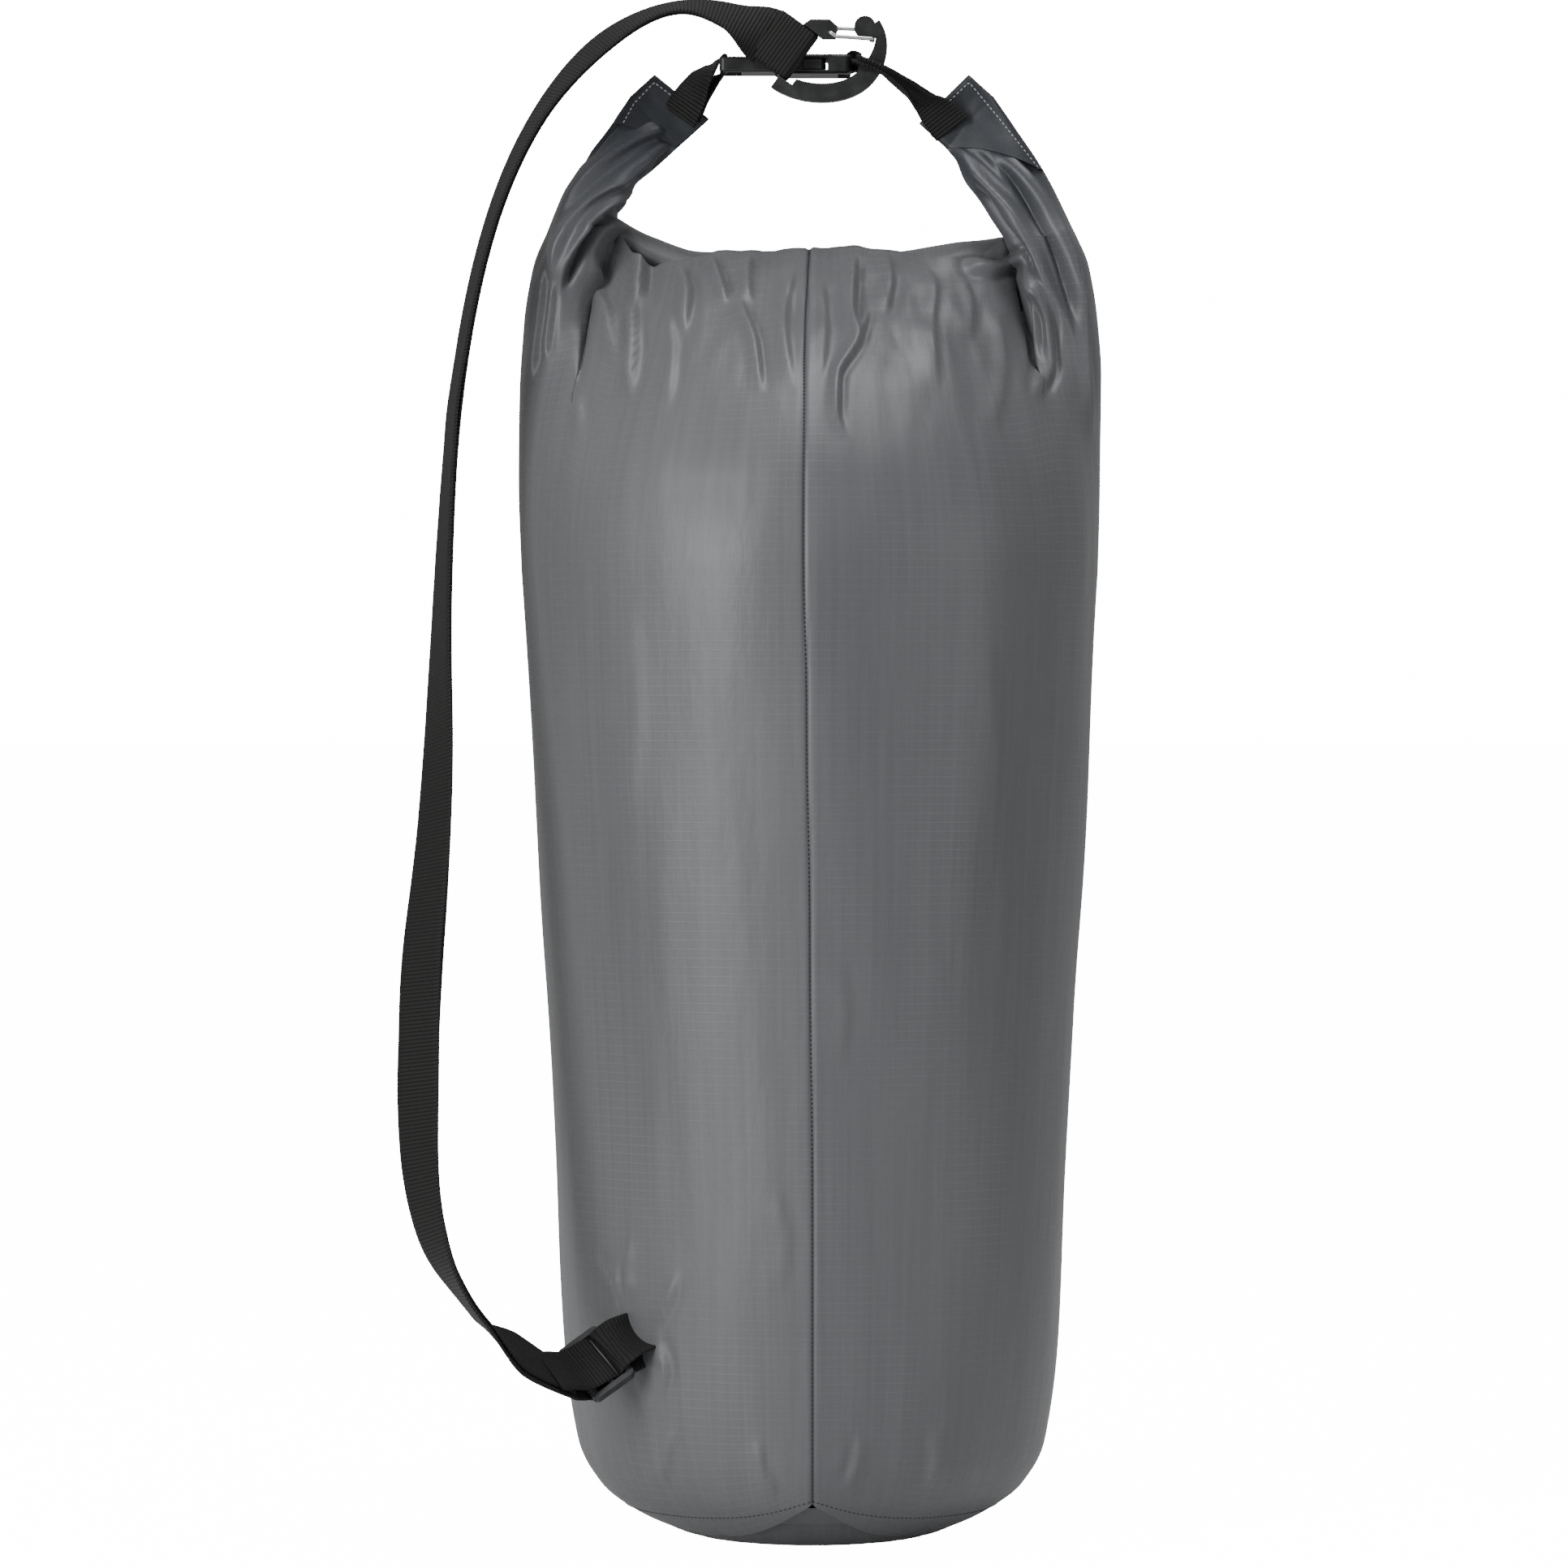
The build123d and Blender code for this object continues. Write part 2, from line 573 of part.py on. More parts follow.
# ---------------------------------------------------------------- tabs on the hem ends
def hem_face(side, depth):
    """Plane on a hem end's near side, depth from its middle; its -y points along the ear."""
    tip = tip_plane(side)
    origin = tip.from_local_coords((0, depth, 0))
    return Plane(origin=origin, x_dir=tip.x_dir, z_dir=tip.y_dir)


def sewn_tab(side):
    """The flat sewn part of a tab, on the near side of its hem end."""
    low, high = TAB_SEWN
    with BuildPart() as flat:
        with BuildSketch(hem_face(side, HEM_THICK / 2 + GAP)):
            with Locations((0, -(low + high) / 2)):
                Rectangle(TAB_WIDTH, high - low)
        extrude(amount=WEBBING)
    return flat.part


def tab_end_plane(side):
    """Plane across a tab where its sewn part ends."""
    origin = tip_plane(side).from_local_coords((0, HEM_THICK / 2 + GAP + WEBBING / 2, TAB_SEWN[1]))
    return Plane(origin=origin, x_dir=tip_plane(side).x_dir, z_dir=tip_plane(side).z_dir)


def tab_stitching(side):
    """Box stitch through a tab and its hem end."""
    middle = (TAB_SEWN[0] + TAB_SEWN[1]) / 2
    with BuildPart() as thread:
        with BuildSketch(hem_face(side, HEM_THICK / 2 + 2 * GAP + WEBBING)):
            with Locations((0, -middle)):
                Rectangle(*STITCH_BOX)
                Rectangle(STITCH_BOX[0] - 4 * THREAD, STITCH_BOX[1] - 4 * THREAD, mode=Mode.SUBTRACT)
        extrude(amount=THREAD)
    return thread.part


left_bar = Vector(BUCKLE_LEFT + BAR_R, 0, BUCKLE_Z)
left_pull = tab_end_plane(-1).origin - left_bar
left_pull = Vector(left_pull.X, 0, left_pull.Z).normalized()
left_fold_plane = Plane(origin=left_bar, x_dir=left_pull, z_dir=(0, 1, 0))
left_fold_end = Plane(origin=left_bar + left_pull * LEFT_FOLD_REACH, x_dir=(0, 1, 0), z_dir=-left_pull)

with BuildPart() as left_tab:
    add(sewn_tab(-1))
    with BuildSketch(tab_end_plane(-1)):
        Rectangle(TAB_WIDTH, WEBBING)
    with BuildSketch(left_fold_end):
        Rectangle(TAB_WIDTH, 2 * WEBBING)
    loft()
    add(webbing_fold(left_fold_plane, BAR_R + GAP, TAB_WIDTH, LEFT_FOLD_REACH))
left_tab.part.label = "left_tab"
export_step(left_tab.part, "parts/left_tab.step")

right_bar = Vector(BUCKLE_RIGHT - BAR_R, 0, BUCKLE_Z)
right_fold_plane = Plane(origin=right_bar, x_dir=(1, 0, 0), z_dir=(0, 1, 0))
with BuildPart() as right_tab:
    add(sewn_tab(1))
    with BuildLine() as neck:
        FilletPolyline(*RIGHT_NECK, radius=NECK_BEND_R)
    with BuildSketch(Plane(origin=neck.line @ 0, z_dir=neck.line % 0)):
        Circle(NECK_R)
    sweep()
    with BuildSketch(Plane(origin=neck.line @ 1, x_dir=tab_end_plane(1).x_dir, z_dir=neck.line % 1)):
        Rectangle(*NECK_END)
    with BuildSketch(tab_end_plane(1)):
        Rectangle(TAB_WIDTH, WEBBING)
    loft()
    add(webbing_fold(right_fold_plane, BAR_R + GAP, TAB_WIDTH, RIGHT_FOLD_REACH))
right_tab.part.label = "right_tab"
export_step(right_tab.part, "parts/right_tab.step")

with BuildPart() as left_tab_stitching:
    add(tab_stitching(-1))
left_tab_stitching.part.label = "left_tab_stitching"
export_step(left_tab_stitching.part, "parts/left_tab_stitching.step")

with BuildPart() as right_tab_stitching:
    add(tab_stitching(1))
right_tab_stitching.part.label = "right_tab_stitching"
export_step(right_tab_stitching.part, "parts/right_tab_stitching.step")
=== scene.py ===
"""Rope storage bag, rolled shut: its cloth, webbing, thread and finishes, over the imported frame.

Metres, +Z up, the long seam faces -Y. Lengths below are written in millimetres and multiplied
by MM where they become geometry.
"""

import math

import bpy
import numpy as np
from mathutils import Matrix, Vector, noise
from mathutils.bvhtree import BVHTree


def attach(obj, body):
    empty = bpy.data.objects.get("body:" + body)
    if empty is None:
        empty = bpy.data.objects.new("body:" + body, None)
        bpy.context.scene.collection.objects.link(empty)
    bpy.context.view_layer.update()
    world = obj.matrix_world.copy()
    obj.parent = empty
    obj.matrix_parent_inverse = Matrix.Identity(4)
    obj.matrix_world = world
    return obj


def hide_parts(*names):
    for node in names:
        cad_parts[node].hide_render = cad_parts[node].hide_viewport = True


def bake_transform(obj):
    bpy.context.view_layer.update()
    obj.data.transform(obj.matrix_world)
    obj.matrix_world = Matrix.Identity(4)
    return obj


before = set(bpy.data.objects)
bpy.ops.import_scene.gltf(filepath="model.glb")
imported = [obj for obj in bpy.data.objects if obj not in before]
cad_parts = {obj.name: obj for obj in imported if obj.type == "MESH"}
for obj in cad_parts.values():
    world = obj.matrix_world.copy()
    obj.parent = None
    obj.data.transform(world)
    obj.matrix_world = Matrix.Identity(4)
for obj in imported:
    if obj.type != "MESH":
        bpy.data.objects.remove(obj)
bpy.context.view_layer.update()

MM = 0.001

# ---- driving dimensions
CAMERA_DISTANCE = 3200.0
CAMERA_AIM = (-12.6, 343.0)  # x and z of the middle of the view
CAMERA_HEIGHT = 400.0
FRAME_WIDTH = 715.6  # width of the view in the plane y = 0

# full body: height, half width
BODY_WIDTH = [
    (0, 48), (4, 61), (12, 79.5), (24, 96), (44, 106.5), (92, 113), (170, 117), (262, 121.5),
    (350, 126.5), (440, 131),
]
# height and half depth, up to the rolled mouth: the body is round as far as the shoulder
BODY_DEPTH = BODY_WIDTH[:-1] + [
    (440, 131.2), (480, 123), (518, 103), (545, 76), (565, 46), (578, 24), (587, 9),
]
# half depth of the far wall above the shoulder: it passes under the roll
FAR_DEPTH = [
    (440, 131.2), (480, 121), (518, 97), (540, 66), (555, 34), (564, 16), (572, 9), (587, 6),
]
# outer edge of each ear from the shoulder to its tip: height, distance from the middle
LEFT_OUTER = [
    (440, 132.5), (480, 133.2), (516, 133), (553, 131.4), (582, 124.5), (600, 116), (616, 108), (630, 101.5),
    (640, 94), (656.4, 82.7),
]
RIGHT_OUTER = [
    (440, 131), (480, 131.6), (528, 131.8), (552, 130.4), (579, 126.6), (593, 121.6), (603, 116.5),
    (615, 110.4), (625, 104.5), (642, 92.8), (656.4, 82.7),
]
# inner edge of each ear from the saddle to its tip: distance from the middle, height
LEFT_INNER = [(88, 597), (87.5, 604), (84.5, 613.5), (74.5, 621.5), (61.3, 632.6)]
RIGHT_INNER = [(88, 592.5), (82, 602), (76.5, 612), (67.5, 626), (61.3, 632.6)]
# top edge of the near wall: x, height
NEAR_TOP = [
    (-88, 597), (-80, 583), (-72, 580.5), (-58, 582.5), (-37, 586), (0, 586.7), (40, 585.8), (60, 582),
    (76, 584), (88, 592.5),
]
SHOULDER_Z = 440.0
SEAM_Z = 4.5
EAR_FROM = 0.64  # share of the half girth where an ear begins
HALF_GIRTH = 416.0
WALL_CLOTH = 150.0  # height of the flat cloth from the shoulder to the saddle
EAR_CLOTH = 72.0  # and from the saddle to an ear's tip

STRAP_WIDTH = 25.0
TAB_WIDTH = 20.0
WEBBING = 1.4
RIB_PITCH = 1.7
FLOAT_PITCH = 1.1  # of the short threads that make up each rib
RIPSTOP_PITCH = 4.0
STITCH_PITCH = 2.0

# route of the doubled shoulder strap, the same points as the part's own
STRAP_ROUTE = [
    (-19.0, -21.0, 682.5), (-38.0, -21.0, 693.5), (-66.0, -21.5, 696.5), (-99.0, -23.0, 678.0),
    (-128.5, -26.0, 641.0), (-149.0, -34.0, 588.0), (-161.5, -48.0, 515.0), (-166.0, -68.0, 425.0),
    (-167.0, -92.0, 335.0), (-175.5, -118.0, 225.0), (-172.0, -131.0, 150.0), (-147.0, -131.0, 110.0),
    (-128.0, -118.5, 93.0), (-110.5, -99.8, 82.0),
]
# direction of the strap's near edge at each of those points
STRAP_EDGE = [
    (-0.59, -0.05, -0.81), (-0.33, -0.84, -0.43), (0.05, -0.96, -0.25), (0.25, -0.92, -0.30),
    (0.24, -0.96, -0.14), (0.22, -0.97, -0.06), (0.22, -0.97, 0.0), (0.32, -0.95, 0.0),
    (0.60, -0.80, 0.0), (0.75, -0.66, 0.0), (0.58, -0.81, 0.05), (0.15, -0.98, 0.12),
    (0.30, -0.70, -0.65), (0.58, -0.52, -0.63),
]
STRAP_STEP = 1.5
LAYER_SHIFT = 2.4  # how far the strap's inner layer shows beside the outer one
LAYER_GAP = 0.12
PARTINGS = [(0.70, 0.055, 2.2), (0.36, 0.02, 0.5)]  # of the layers: share of the length, spread, gap


# ---- camera
def make_camera():
    data = bpy.data.cameras.new("camera")
    data.sensor_width = 36.0
    data.lens = data.sensor_width * CAMERA_DISTANCE / FRAME_WIDTH
    data.clip_end = 50.0
    camera = bpy.data.objects.new("camera", data)
    bpy.context.scene.collection.objects.link(camera)
    camera.location = Vector((CAMERA_AIM[0], -CAMERA_DISTANCE, CAMERA_HEIGHT)) * MM
    aim = Vector((CAMERA_AIM[0], 0.0, CAMERA_AIM[1])) * MM
    camera.rotation_euler = (aim - camera.location).to_track_quat("-Z", "Y").to_euler()
    bpy.context.scene.camera = camera


def in_front_plane(points):
    """Where points appear in the plane y = 0, as x and z, seen from the camera's place."""
    scale = CAMERA_DISTANCE / (CAMERA_DISTANCE + points[:, 1])
    x = CAMERA_AIM[0] + (points[:, 0] - CAMERA_AIM[0]) * scale
    z = CAMERA_HEIGHT + (points[:, 2] - CAMERA_HEIGHT) * scale
    return np.stack([x, z], 1)


# ---- curves
def smooth(x, xs, ys):
    """Monotone cubic through the points xs, ys."""
    xs = np.asarray(xs, float)
    ys = np.asarray(ys, float)
    step = np.diff(xs)
    slope = np.diff(ys) / step
    tangent = np.zeros(len(xs))
    pair = slope[:-1] * slope[1:]
    tangent[1:-1] = np.where(pair > 0, 2 * pair / np.where(pair > 0, slope[:-1] + slope[1:], 1), 0)
    tangent[0] = slope[0]
    tangent[-1] = slope[-1]
    i = np.clip(np.searchsorted(xs, x) - 1, 0, len(xs) - 2)
    t = np.clip((x - xs[i]) / step[i], 0, 1)
    rise = (2 * t**3 - 3 * t**2 + 1) * ys[i] + (3 * t**2 - 2 * t**3) * ys[i + 1]
    lean = (t**3 - 2 * t**2 + t) * tangent[i] + (t**3 - t**2) * tangent[i + 1]
    return rise + lean * step[i]


def look_up(table, x):
    """A table's second column at x, by a monotone cubic over its first column."""
    first, second = zip(*table)
    return smooth(x, first, second)


def run_along(points):
    """Distance along a line of points, at each of them."""
    return np.r_[0, np.cumsum(np.linalg.norm(np.diff(points, axis=0), axis=1))]


def along_path(path, share):
    """Points at these shares of a path's length, by a cubic through its corners."""
    path = np.asarray(path, float)
    run = run_along(path)
    at = np.asarray(share) * run[-1]
    return np.stack([smooth(at, run, path[:, k]) for k in range(path.shape[1])], -1)


def ease(t):
    t = np.clip(t, 0, 1)
    return t * t * (3 - 2 * t)


def hump(x, place, width, height=1.0):
    """A smooth hump round a place, or a hollow where its height is negative."""
    return height * np.exp(-(((x - place) / width) ** 2))


def unit(v):
    v = np.asarray(v, float)
    return v / np.linalg.norm(v, axis=-1, keepdims=True)


# ---- meshes
def make_object(name, verts, faces, uvs=None, material=None, tones=None):
    """A smooth mesh object from points in millimetres; uvs are in metres, one per point."""
    mesh = bpy.data.meshes.new(name)
    mesh.from_pydata([tuple(v) for v in np.asarray(verts) * MM], [], faces)
    mesh.update()
    mesh.polygons.foreach_set("use_smooth", [True] * len(mesh.polygons))
    if uvs is not None:
        layer = mesh.uv_layers.new(name="cloth")
        corner = np.zeros(len(mesh.loops), np.int32)
        mesh.loops.foreach_get("vertex_index", corner)
        layer.data.foreach_set("uv", np.asarray(uvs, np.float32)[corner].ravel())
    if tones is not None:
        shade = mesh.attributes.new("tone", "FLOAT", "POINT")
        shade.data.foreach_set("value", np.asarray(tones, np.float32))
    obj = bpy.data.objects.new(name, mesh)
    bpy.context.scene.collection.objects.link(obj)
    if material:
        mesh.materials.append(material)
    return obj


def grid_faces(rows, columns, first=0, closed=False):
    """Quads of a grid of points stored row by row."""
    faces = []
    for j in range(rows - 1):
        for i in range(columns if closed else columns - 1):
            a = first + j * columns + i
            b = first + j * columns + (i + 1) % columns
            faces.append((a, b, b + columns, a + columns))
    return faces


def subdivide(obj, levels=1):
    modifier = obj.modifiers.new("finer", "SUBSURF")
    modifier.levels = levels
    modifier.render_levels = levels


# ---- materials
def new_material(name, colour, roughness, metallic=0.0, specular=0.5):
    material = bpy.data.materials.new(name)
    material.use_nodes = True
    tree = material.node_tree
    shader = tree.nodes["Principled BSDF"]
    shader.inputs["Base Color"].default_value = (*colour, 1.0)
    shader.inputs["Roughness"].default_value = roughness
    shader.inputs["Metallic"].default_value = metallic
    shader.inputs["Specular IOR Level"].default_value = specular
    return material, tree, shader


def math_node(tree, operation, a, b=None):
    node = tree.nodes.new("ShaderNodeMath")
    node.operation = operation
    for socket, value in zip(node.inputs, (a, b)):
        if value is None:
            continue
        if isinstance(value, (int, float)):
            socket.default_value = value
        else:
            tree.links.new(value, socket)
    return node.outputs[0]


def weighted_sum(tree, a, share_a, b, share_b):
    return math_node(
        tree, "ADD", math_node(tree, "MULTIPLY", a, share_a), math_node(tree, "MULTIPLY", b, share_b)
    )


def noise_node(tree, vector, scale, detail=3.0, roughness=0.5):
    node = tree.nodes.new("ShaderNodeTexNoise")
    node.inputs["Scale"].default_value = scale
    node.inputs["Detail"].default_value = detail
    node.inputs["Roughness"].default_value = roughness
    tree.links.new(vector, node.inputs["Vector"])
    return node.outputs["Fac"]


def mapped(tree, vector, scale):
    node = tree.nodes.new("ShaderNodeMapping")
    node.inputs["Scale"].default_value = scale
    tree.links.new(vector, node.inputs["Vector"])
    return node.outputs[0]


def mix_colour(tree, share, a, b):
    node = tree.nodes.new("ShaderNodeMix")
    node.data_type = "RGBA"
    tree.links.new(share, node.inputs[0])
    for socket, value in ((node.inputs[6], a), (node.inputs[7], b)):
        if isinstance(value, tuple):
            socket.default_value = (*value, 1.0)
        else:
            tree.links.new(value, socket)
    return node.outputs[2]


def ramp(tree, value, low, high, out_low=0.0, out_high=1.0):
    node = tree.nodes.new("ShaderNodeMapRange")
    node.inputs[1].default_value = low
    node.inputs[2].default_value = high
    node.inputs[3].default_value = out_low
    node.inputs[4].default_value = out_high
    tree.links.new(value, node.inputs[0])
    return node.outputs[0]


def bump(tree, shader, height, strength, distance, normal=None):
    node = tree.nodes.new("ShaderNodeBump")
    node.inputs["Strength"].default_value = strength
    node.inputs["Distance"].default_value = distance
    tree.links.new(height, node.inputs["Height"])
    if normal is not None:
        tree.links.new(normal, node.inputs["Normal"])
    tree.links.new(node.outputs[0], shader.inputs["Normal"])
    return node.outputs[0]


def cloth_coordinates(tree):
    """The mesh's flat cloth coordinates: whole, across and along."""
    uv = tree.nodes.new("ShaderNodeUVMap")
    uv.uv_map = "cloth"
    split = tree.nodes.new("ShaderNodeSeparateXYZ")
    tree.links.new(uv.outputs[0], split.inputs[0])
    return uv.outputs[0], split.outputs[0], split.outputs[1]


def object_coordinates(tree):
    return tree.nodes.new("ShaderNodeTexCoord").outputs["Object"]


def add_sheen(shader, weight, roughness):
    shader.inputs["Sheen Weight"].default_value = weight
    shader.inputs["Sheen Roughness"].default_value = roughness


def cloth_lines(tree, coordinate, pitch, share):
    """One on thin lines a pitch apart, nought between them."""
    turn = math_node(tree, "FRACT", math_node(tree, "DIVIDE", coordinate, pitch))
    middle = math_node(tree, "ABSOLUTE", math_node(tree, "SUBTRACT", turn, 0.5))
    return ramp(tree, middle, 0.5 - share, 0.5 - share * 0.4)


def ripstop_material(name, dark, light, line, roughness, shade_and_ear_colour=None):
    """Thin coated ripstop nylon: a plain weave with a grid of thicker threads.
    Where the mesh's tone is one, the cloth takes its darkest colour: painted shade right of the long seam
    and along its groove, and the ears' cloth, darker towards their tips."""
    material, tree, shader = new_material(name, light, roughness, specular=0.45)
    cloth, across, along = cloth_coordinates(tree)
    wide = cloth_lines(tree, along, RIPSTOP_PITCH * MM, 0.07)
    tall = cloth_lines(tree, across, RIPSTOP_PITCH * MM, 0.05)
    grid = math_node(tree, "MAXIMUM", wide, math_node(tree, "MULTIPLY", tall, 0.7))
    # broken threads: the grid shows more in some places than in others
    patchy = ramp(tree, noise_node(tree, mapped(tree, cloth, (14.0, 6.0, 1.0)), 1.6), 0.35, 0.7)
    grid = math_node(tree, "MULTIPLY", grid, patchy)
    streak = noise_node(tree, mapped(tree, cloth, (260.0, 9.0, 1.0)), 1.0, 4.0, 0.6)
    cloud = noise_node(tree, mapped(tree, cloth, (9.0, 4.0, 1.0)), 1.3, 3.0, 0.5)
    tone = weighted_sum(tree, streak, 0.45, cloud, 0.55)
    body = mix_colour(tree, ramp(tree, tone, 0.36, 0.64), dark, light)
    colour = mix_colour(tree, math_node(tree, "MULTIPLY", grid, 0.38), body, line)
    if shade_and_ear_colour:
        tone_node = tree.nodes.new("ShaderNodeAttribute")
        tone_node.attribute_name = "tone"
        # painted shade by the mesh's tone, which also darkens the ears towards their tips
        colour = mix_colour(tree, tone_node.outputs["Fac"], colour, shade_and_ear_colour)
    tree.links.new(colour, shader.inputs["Base Color"])
    dull = ramp(tree, cloud, 0.3, 0.7, roughness - 0.05, roughness + 0.07)
    tree.links.new(dull, shader.inputs["Roughness"])
    weave = noise_node(tree, mapped(tree, cloth, (4200.0, 4200.0, 1.0)), 1.0, 1.0)
    crease = noise_node(tree, mapped(tree, cloth, (70.0, 22.0, 1.0)), 1.0, 5.0, 0.55)
    height = weighted_sum(tree, weave, 0.10, grid, 0.5)
    creased = bump(tree, shader, crease, 0.32, 0.0016)
    bump(tree, shader, height, 0.35, 0.00018, creased)
    add_sheen(shader, 0.08, 0.4)
    return material


def webbing_material(name, dark, light):
    """Ribbed webbing: rounded ribs across it, each made of short twisted floats, with a painted highlight on
    their crests and painted shade between them.
    """
    material, tree, shader = new_material(name, light, 0.6, specular=0.25)
    cloth, across, along = cloth_coordinates(tree)
    rib = math_node(tree, "SINE", math_node(tree, "MULTIPLY", along, math.pi / (RIB_PITCH * MM)))
    rib = math_node(tree, "ABSOLUTE", rib)
    rib = math_node(tree, "POWER", rib, 0.6)
    row = math_node(tree, "FLOOR", math_node(tree, "DIVIDE", along, RIB_PITCH * MM))
    shift = math_node(tree, "MULTIPLY", math_node(tree, "MODULO", row, 2.0), 0.5)
    cell = math_node(tree, "ADD", math_node(tree, "DIVIDE", across, FLOAT_PITCH * MM), shift)
    turn = math_node(tree, "ABSOLUTE", math_node(tree, "SINE", math_node(tree, "MULTIPLY", cell, math.pi)))
    twist = math_node(tree, "ADD", 0.72, math_node(tree, "MULTIPLY", turn, 0.28))
    floats = math_node(tree, "MULTIPLY", rib, twist)
    fuzz = noise_node(tree, mapped(tree, cloth, (2600.0, 2600.0, 1.0)), 1.0, 3.0)
    # painted highlight and shade: the colour goes from dark between the ribs to light on their crests
    tone = math_node(tree, "MULTIPLY", floats, ramp(tree, fuzz, 0.3, 0.7, 0.75, 1.0))
    colour = mix_colour(tree, ramp(tree, tone, 0.25, 0.95), dark, light)
    tree.links.new(colour, shader.inputs["Base Color"])
    bump(tree, shader, floats, 0.9, 0.00045)
    add_sheen(shader, 0.03, 0.5)
    return material


def plastic_material(name, colour, roughness):
    """Moulded nylon: a fine even grain, a little rubbed in patches."""
    material, tree, shader = new_material(name, colour, roughness, specular=0.5)
    place = object_coordinates(tree)
    grain = noise_node(tree, place, 2600.0, 2.0)
    blotch = noise_node(tree, place, 140.0, 3.0)
    worn = tuple(min(1.0, c * 1.5 + 0.004) for c in colour)
    rubbed = mix_colour(tree, ramp(tree, blotch, 0.45, 0.75), colour, worn)
    tree.links.new(rubbed, shader.inputs["Base Color"])
    dull = ramp(tree, blotch, 0.3, 0.7, roughness - 0.06, roughness + 0.08)
    tree.links.new(dull, shader.inputs["Roughness"])
    bump(tree, shader, grain, 0.25, 0.0001)
    return material


def thread_material(name, colour):
    material, tree, shader = new_material(name, colour, 0.6)
    twist = noise_node(tree, object_coordinates(tree), 5200.0, 2.0)
    dark = tuple(c * 0.6 for c in colour)
    tree.links.new(mix_colour(tree, twist, dark, colour), shader.inputs["Base Color"])
    bump(tree, shader, twist, 0.4, 0.0001)
    return material


def steel_material(name):
    material, tree, shader = new_material(name, (0.62, 0.63, 0.64), 0.22, metallic=1.0)
    draw = noise_node(tree, mapped(tree, object_coordinates(tree), (300.0, 4000.0, 4000.0)), 1.0, 2.0)
    tree.links.new(ramp(tree, draw, 0.3, 0.7, 0.16, 0.32), shader.inputs["Roughness"])
    bump(tree, shader, draw, 0.1, 0.00005)
    return material


shell_cloth = ripstop_material(
    "shell_cloth",
    dark=(0.100, 0.103, 0.109),
    light=(0.122, 0.125, 0.131),
    line=(0.185, 0.19, 0.197),
    roughness=0.42,
    # darkest colour: painted shade by the long seam and right of it, and the ears' darker cloth
    shade_and_ear_colour=(0.019, 0.023, 0.031),
)
base_cloth = ripstop_material(
    "base_cloth",
    dark=(0.072, 0.074, 0.080),
    light=(0.092, 0.094, 0.100),
    line=(0.12, 0.122, 0.13),
    roughness=0.55,
)
trim_cloth = ripstop_material(
    "trim_cloth",
    dark=(0.012, 0.0145, 0.019),
    light=(0.018, 0.021, 0.027),
    line=(0.022, 0.025, 0.031),
    roughness=0.5,
)
# light is the painted highlight on the ribs' crests, dark the painted shade between them
webbing = webbing_material("webbing", dark=(0.0012, 0.0012, 0.0012), light=(0.013, 0.0125, 0.012))
hardware = plastic_material("hardware", colour=(0.010, 0.0105, 0.011), roughness=0.4)
slide_plastic = plastic_material("slide_plastic", colour=(0.026, 0.027, 0.029), roughness=0.5)
seam_thread = thread_material("seam_thread", colour=(0.012, 0.013, 0.018))
pale_thread = thread_material("pale_thread", colour=(0.42, 0.43, 0.45))
wire = steel_material("wire")


# ---- webbing bands
def band_section(width, thick, curl=0.0, sides=9):
    """Closed section of a band: points across it and out of it, curled like a gutter."""
    half = width / 2
    soft = min(thick * 0.45, half)
    points = []
    for side in (1, -1):
        for k in range(sides):
            share = k / (sides - 1) * 2 - 1
            points.append((side * share * (half - soft), side * thick / 2))
        points.append((side * half, 0.0))
    section = np.array(points)
    if curl:
        radius = half / curl
        turn = section[:, 0] / radius
        reach = radius - section[:, 1]
        section = np.stack([np.sin(turn) * reach, radius - np.cos(turn) * reach], 1)
    return section


def band(centres, edges, width, thick=WEBBING, curls=None, widths=None, lift=0.0):
    """Mesh band along centres; edges point across it, lift moves it out of its own plane."""
    centres = np.asarray(centres, float)
    tangent = unit(np.gradient(centres, axis=0))
    across = np.asarray(edges, float)
    across = unit(across - (across * tangent).sum(1, keepdims=True) * tangent)
    out = np.cross(across, tangent)
    run = run_along(centres)
    count = len(centres)
    lift = np.broadcast_to(np.asarray(lift, float), (count,))
    curls = np.zeros(count) if curls is None else np.asarray(curls, float)
    widths = np.full(count, float(width)) if widths is None else np.asarray(widths, float)
    flat = band_section(width, thick)
    verts = []
    uvs = []
    for j in range(count):
        section = band_section(widths[j], thick, curls[j])
        place = centres[j] + section[:, :1] * across[j] + (section[:, 1:] + lift[j]) * out[j]
        verts.append(place)
        uvs.append(np.stack([flat[:, 0] * MM, np.full(len(flat), run[j] * MM)], 1))
    columns = len(verts[0])
    faces = grid_faces(count, columns, closed=True)
    faces.append(tuple(range(columns - 1, -1, -1)))
    faces.append(tuple(range((count - 1) * columns, count * columns)))
    return np.vstack(verts), faces, np.vstack(uvs)


def joined(name, parts, material):
    """One object of several bands."""
    verts = []
    faces = []
    uvs = []
    first = 0
    for part_verts, part_faces, part_uvs in parts:
        verts.append(part_verts)
        uvs.append(part_uvs)
        faces += [tuple(first + k for k in face) for face in part_faces]
        first += len(part_verts)
    return make_object(name, np.vstack(verts), faces, np.vstack(uvs), material)


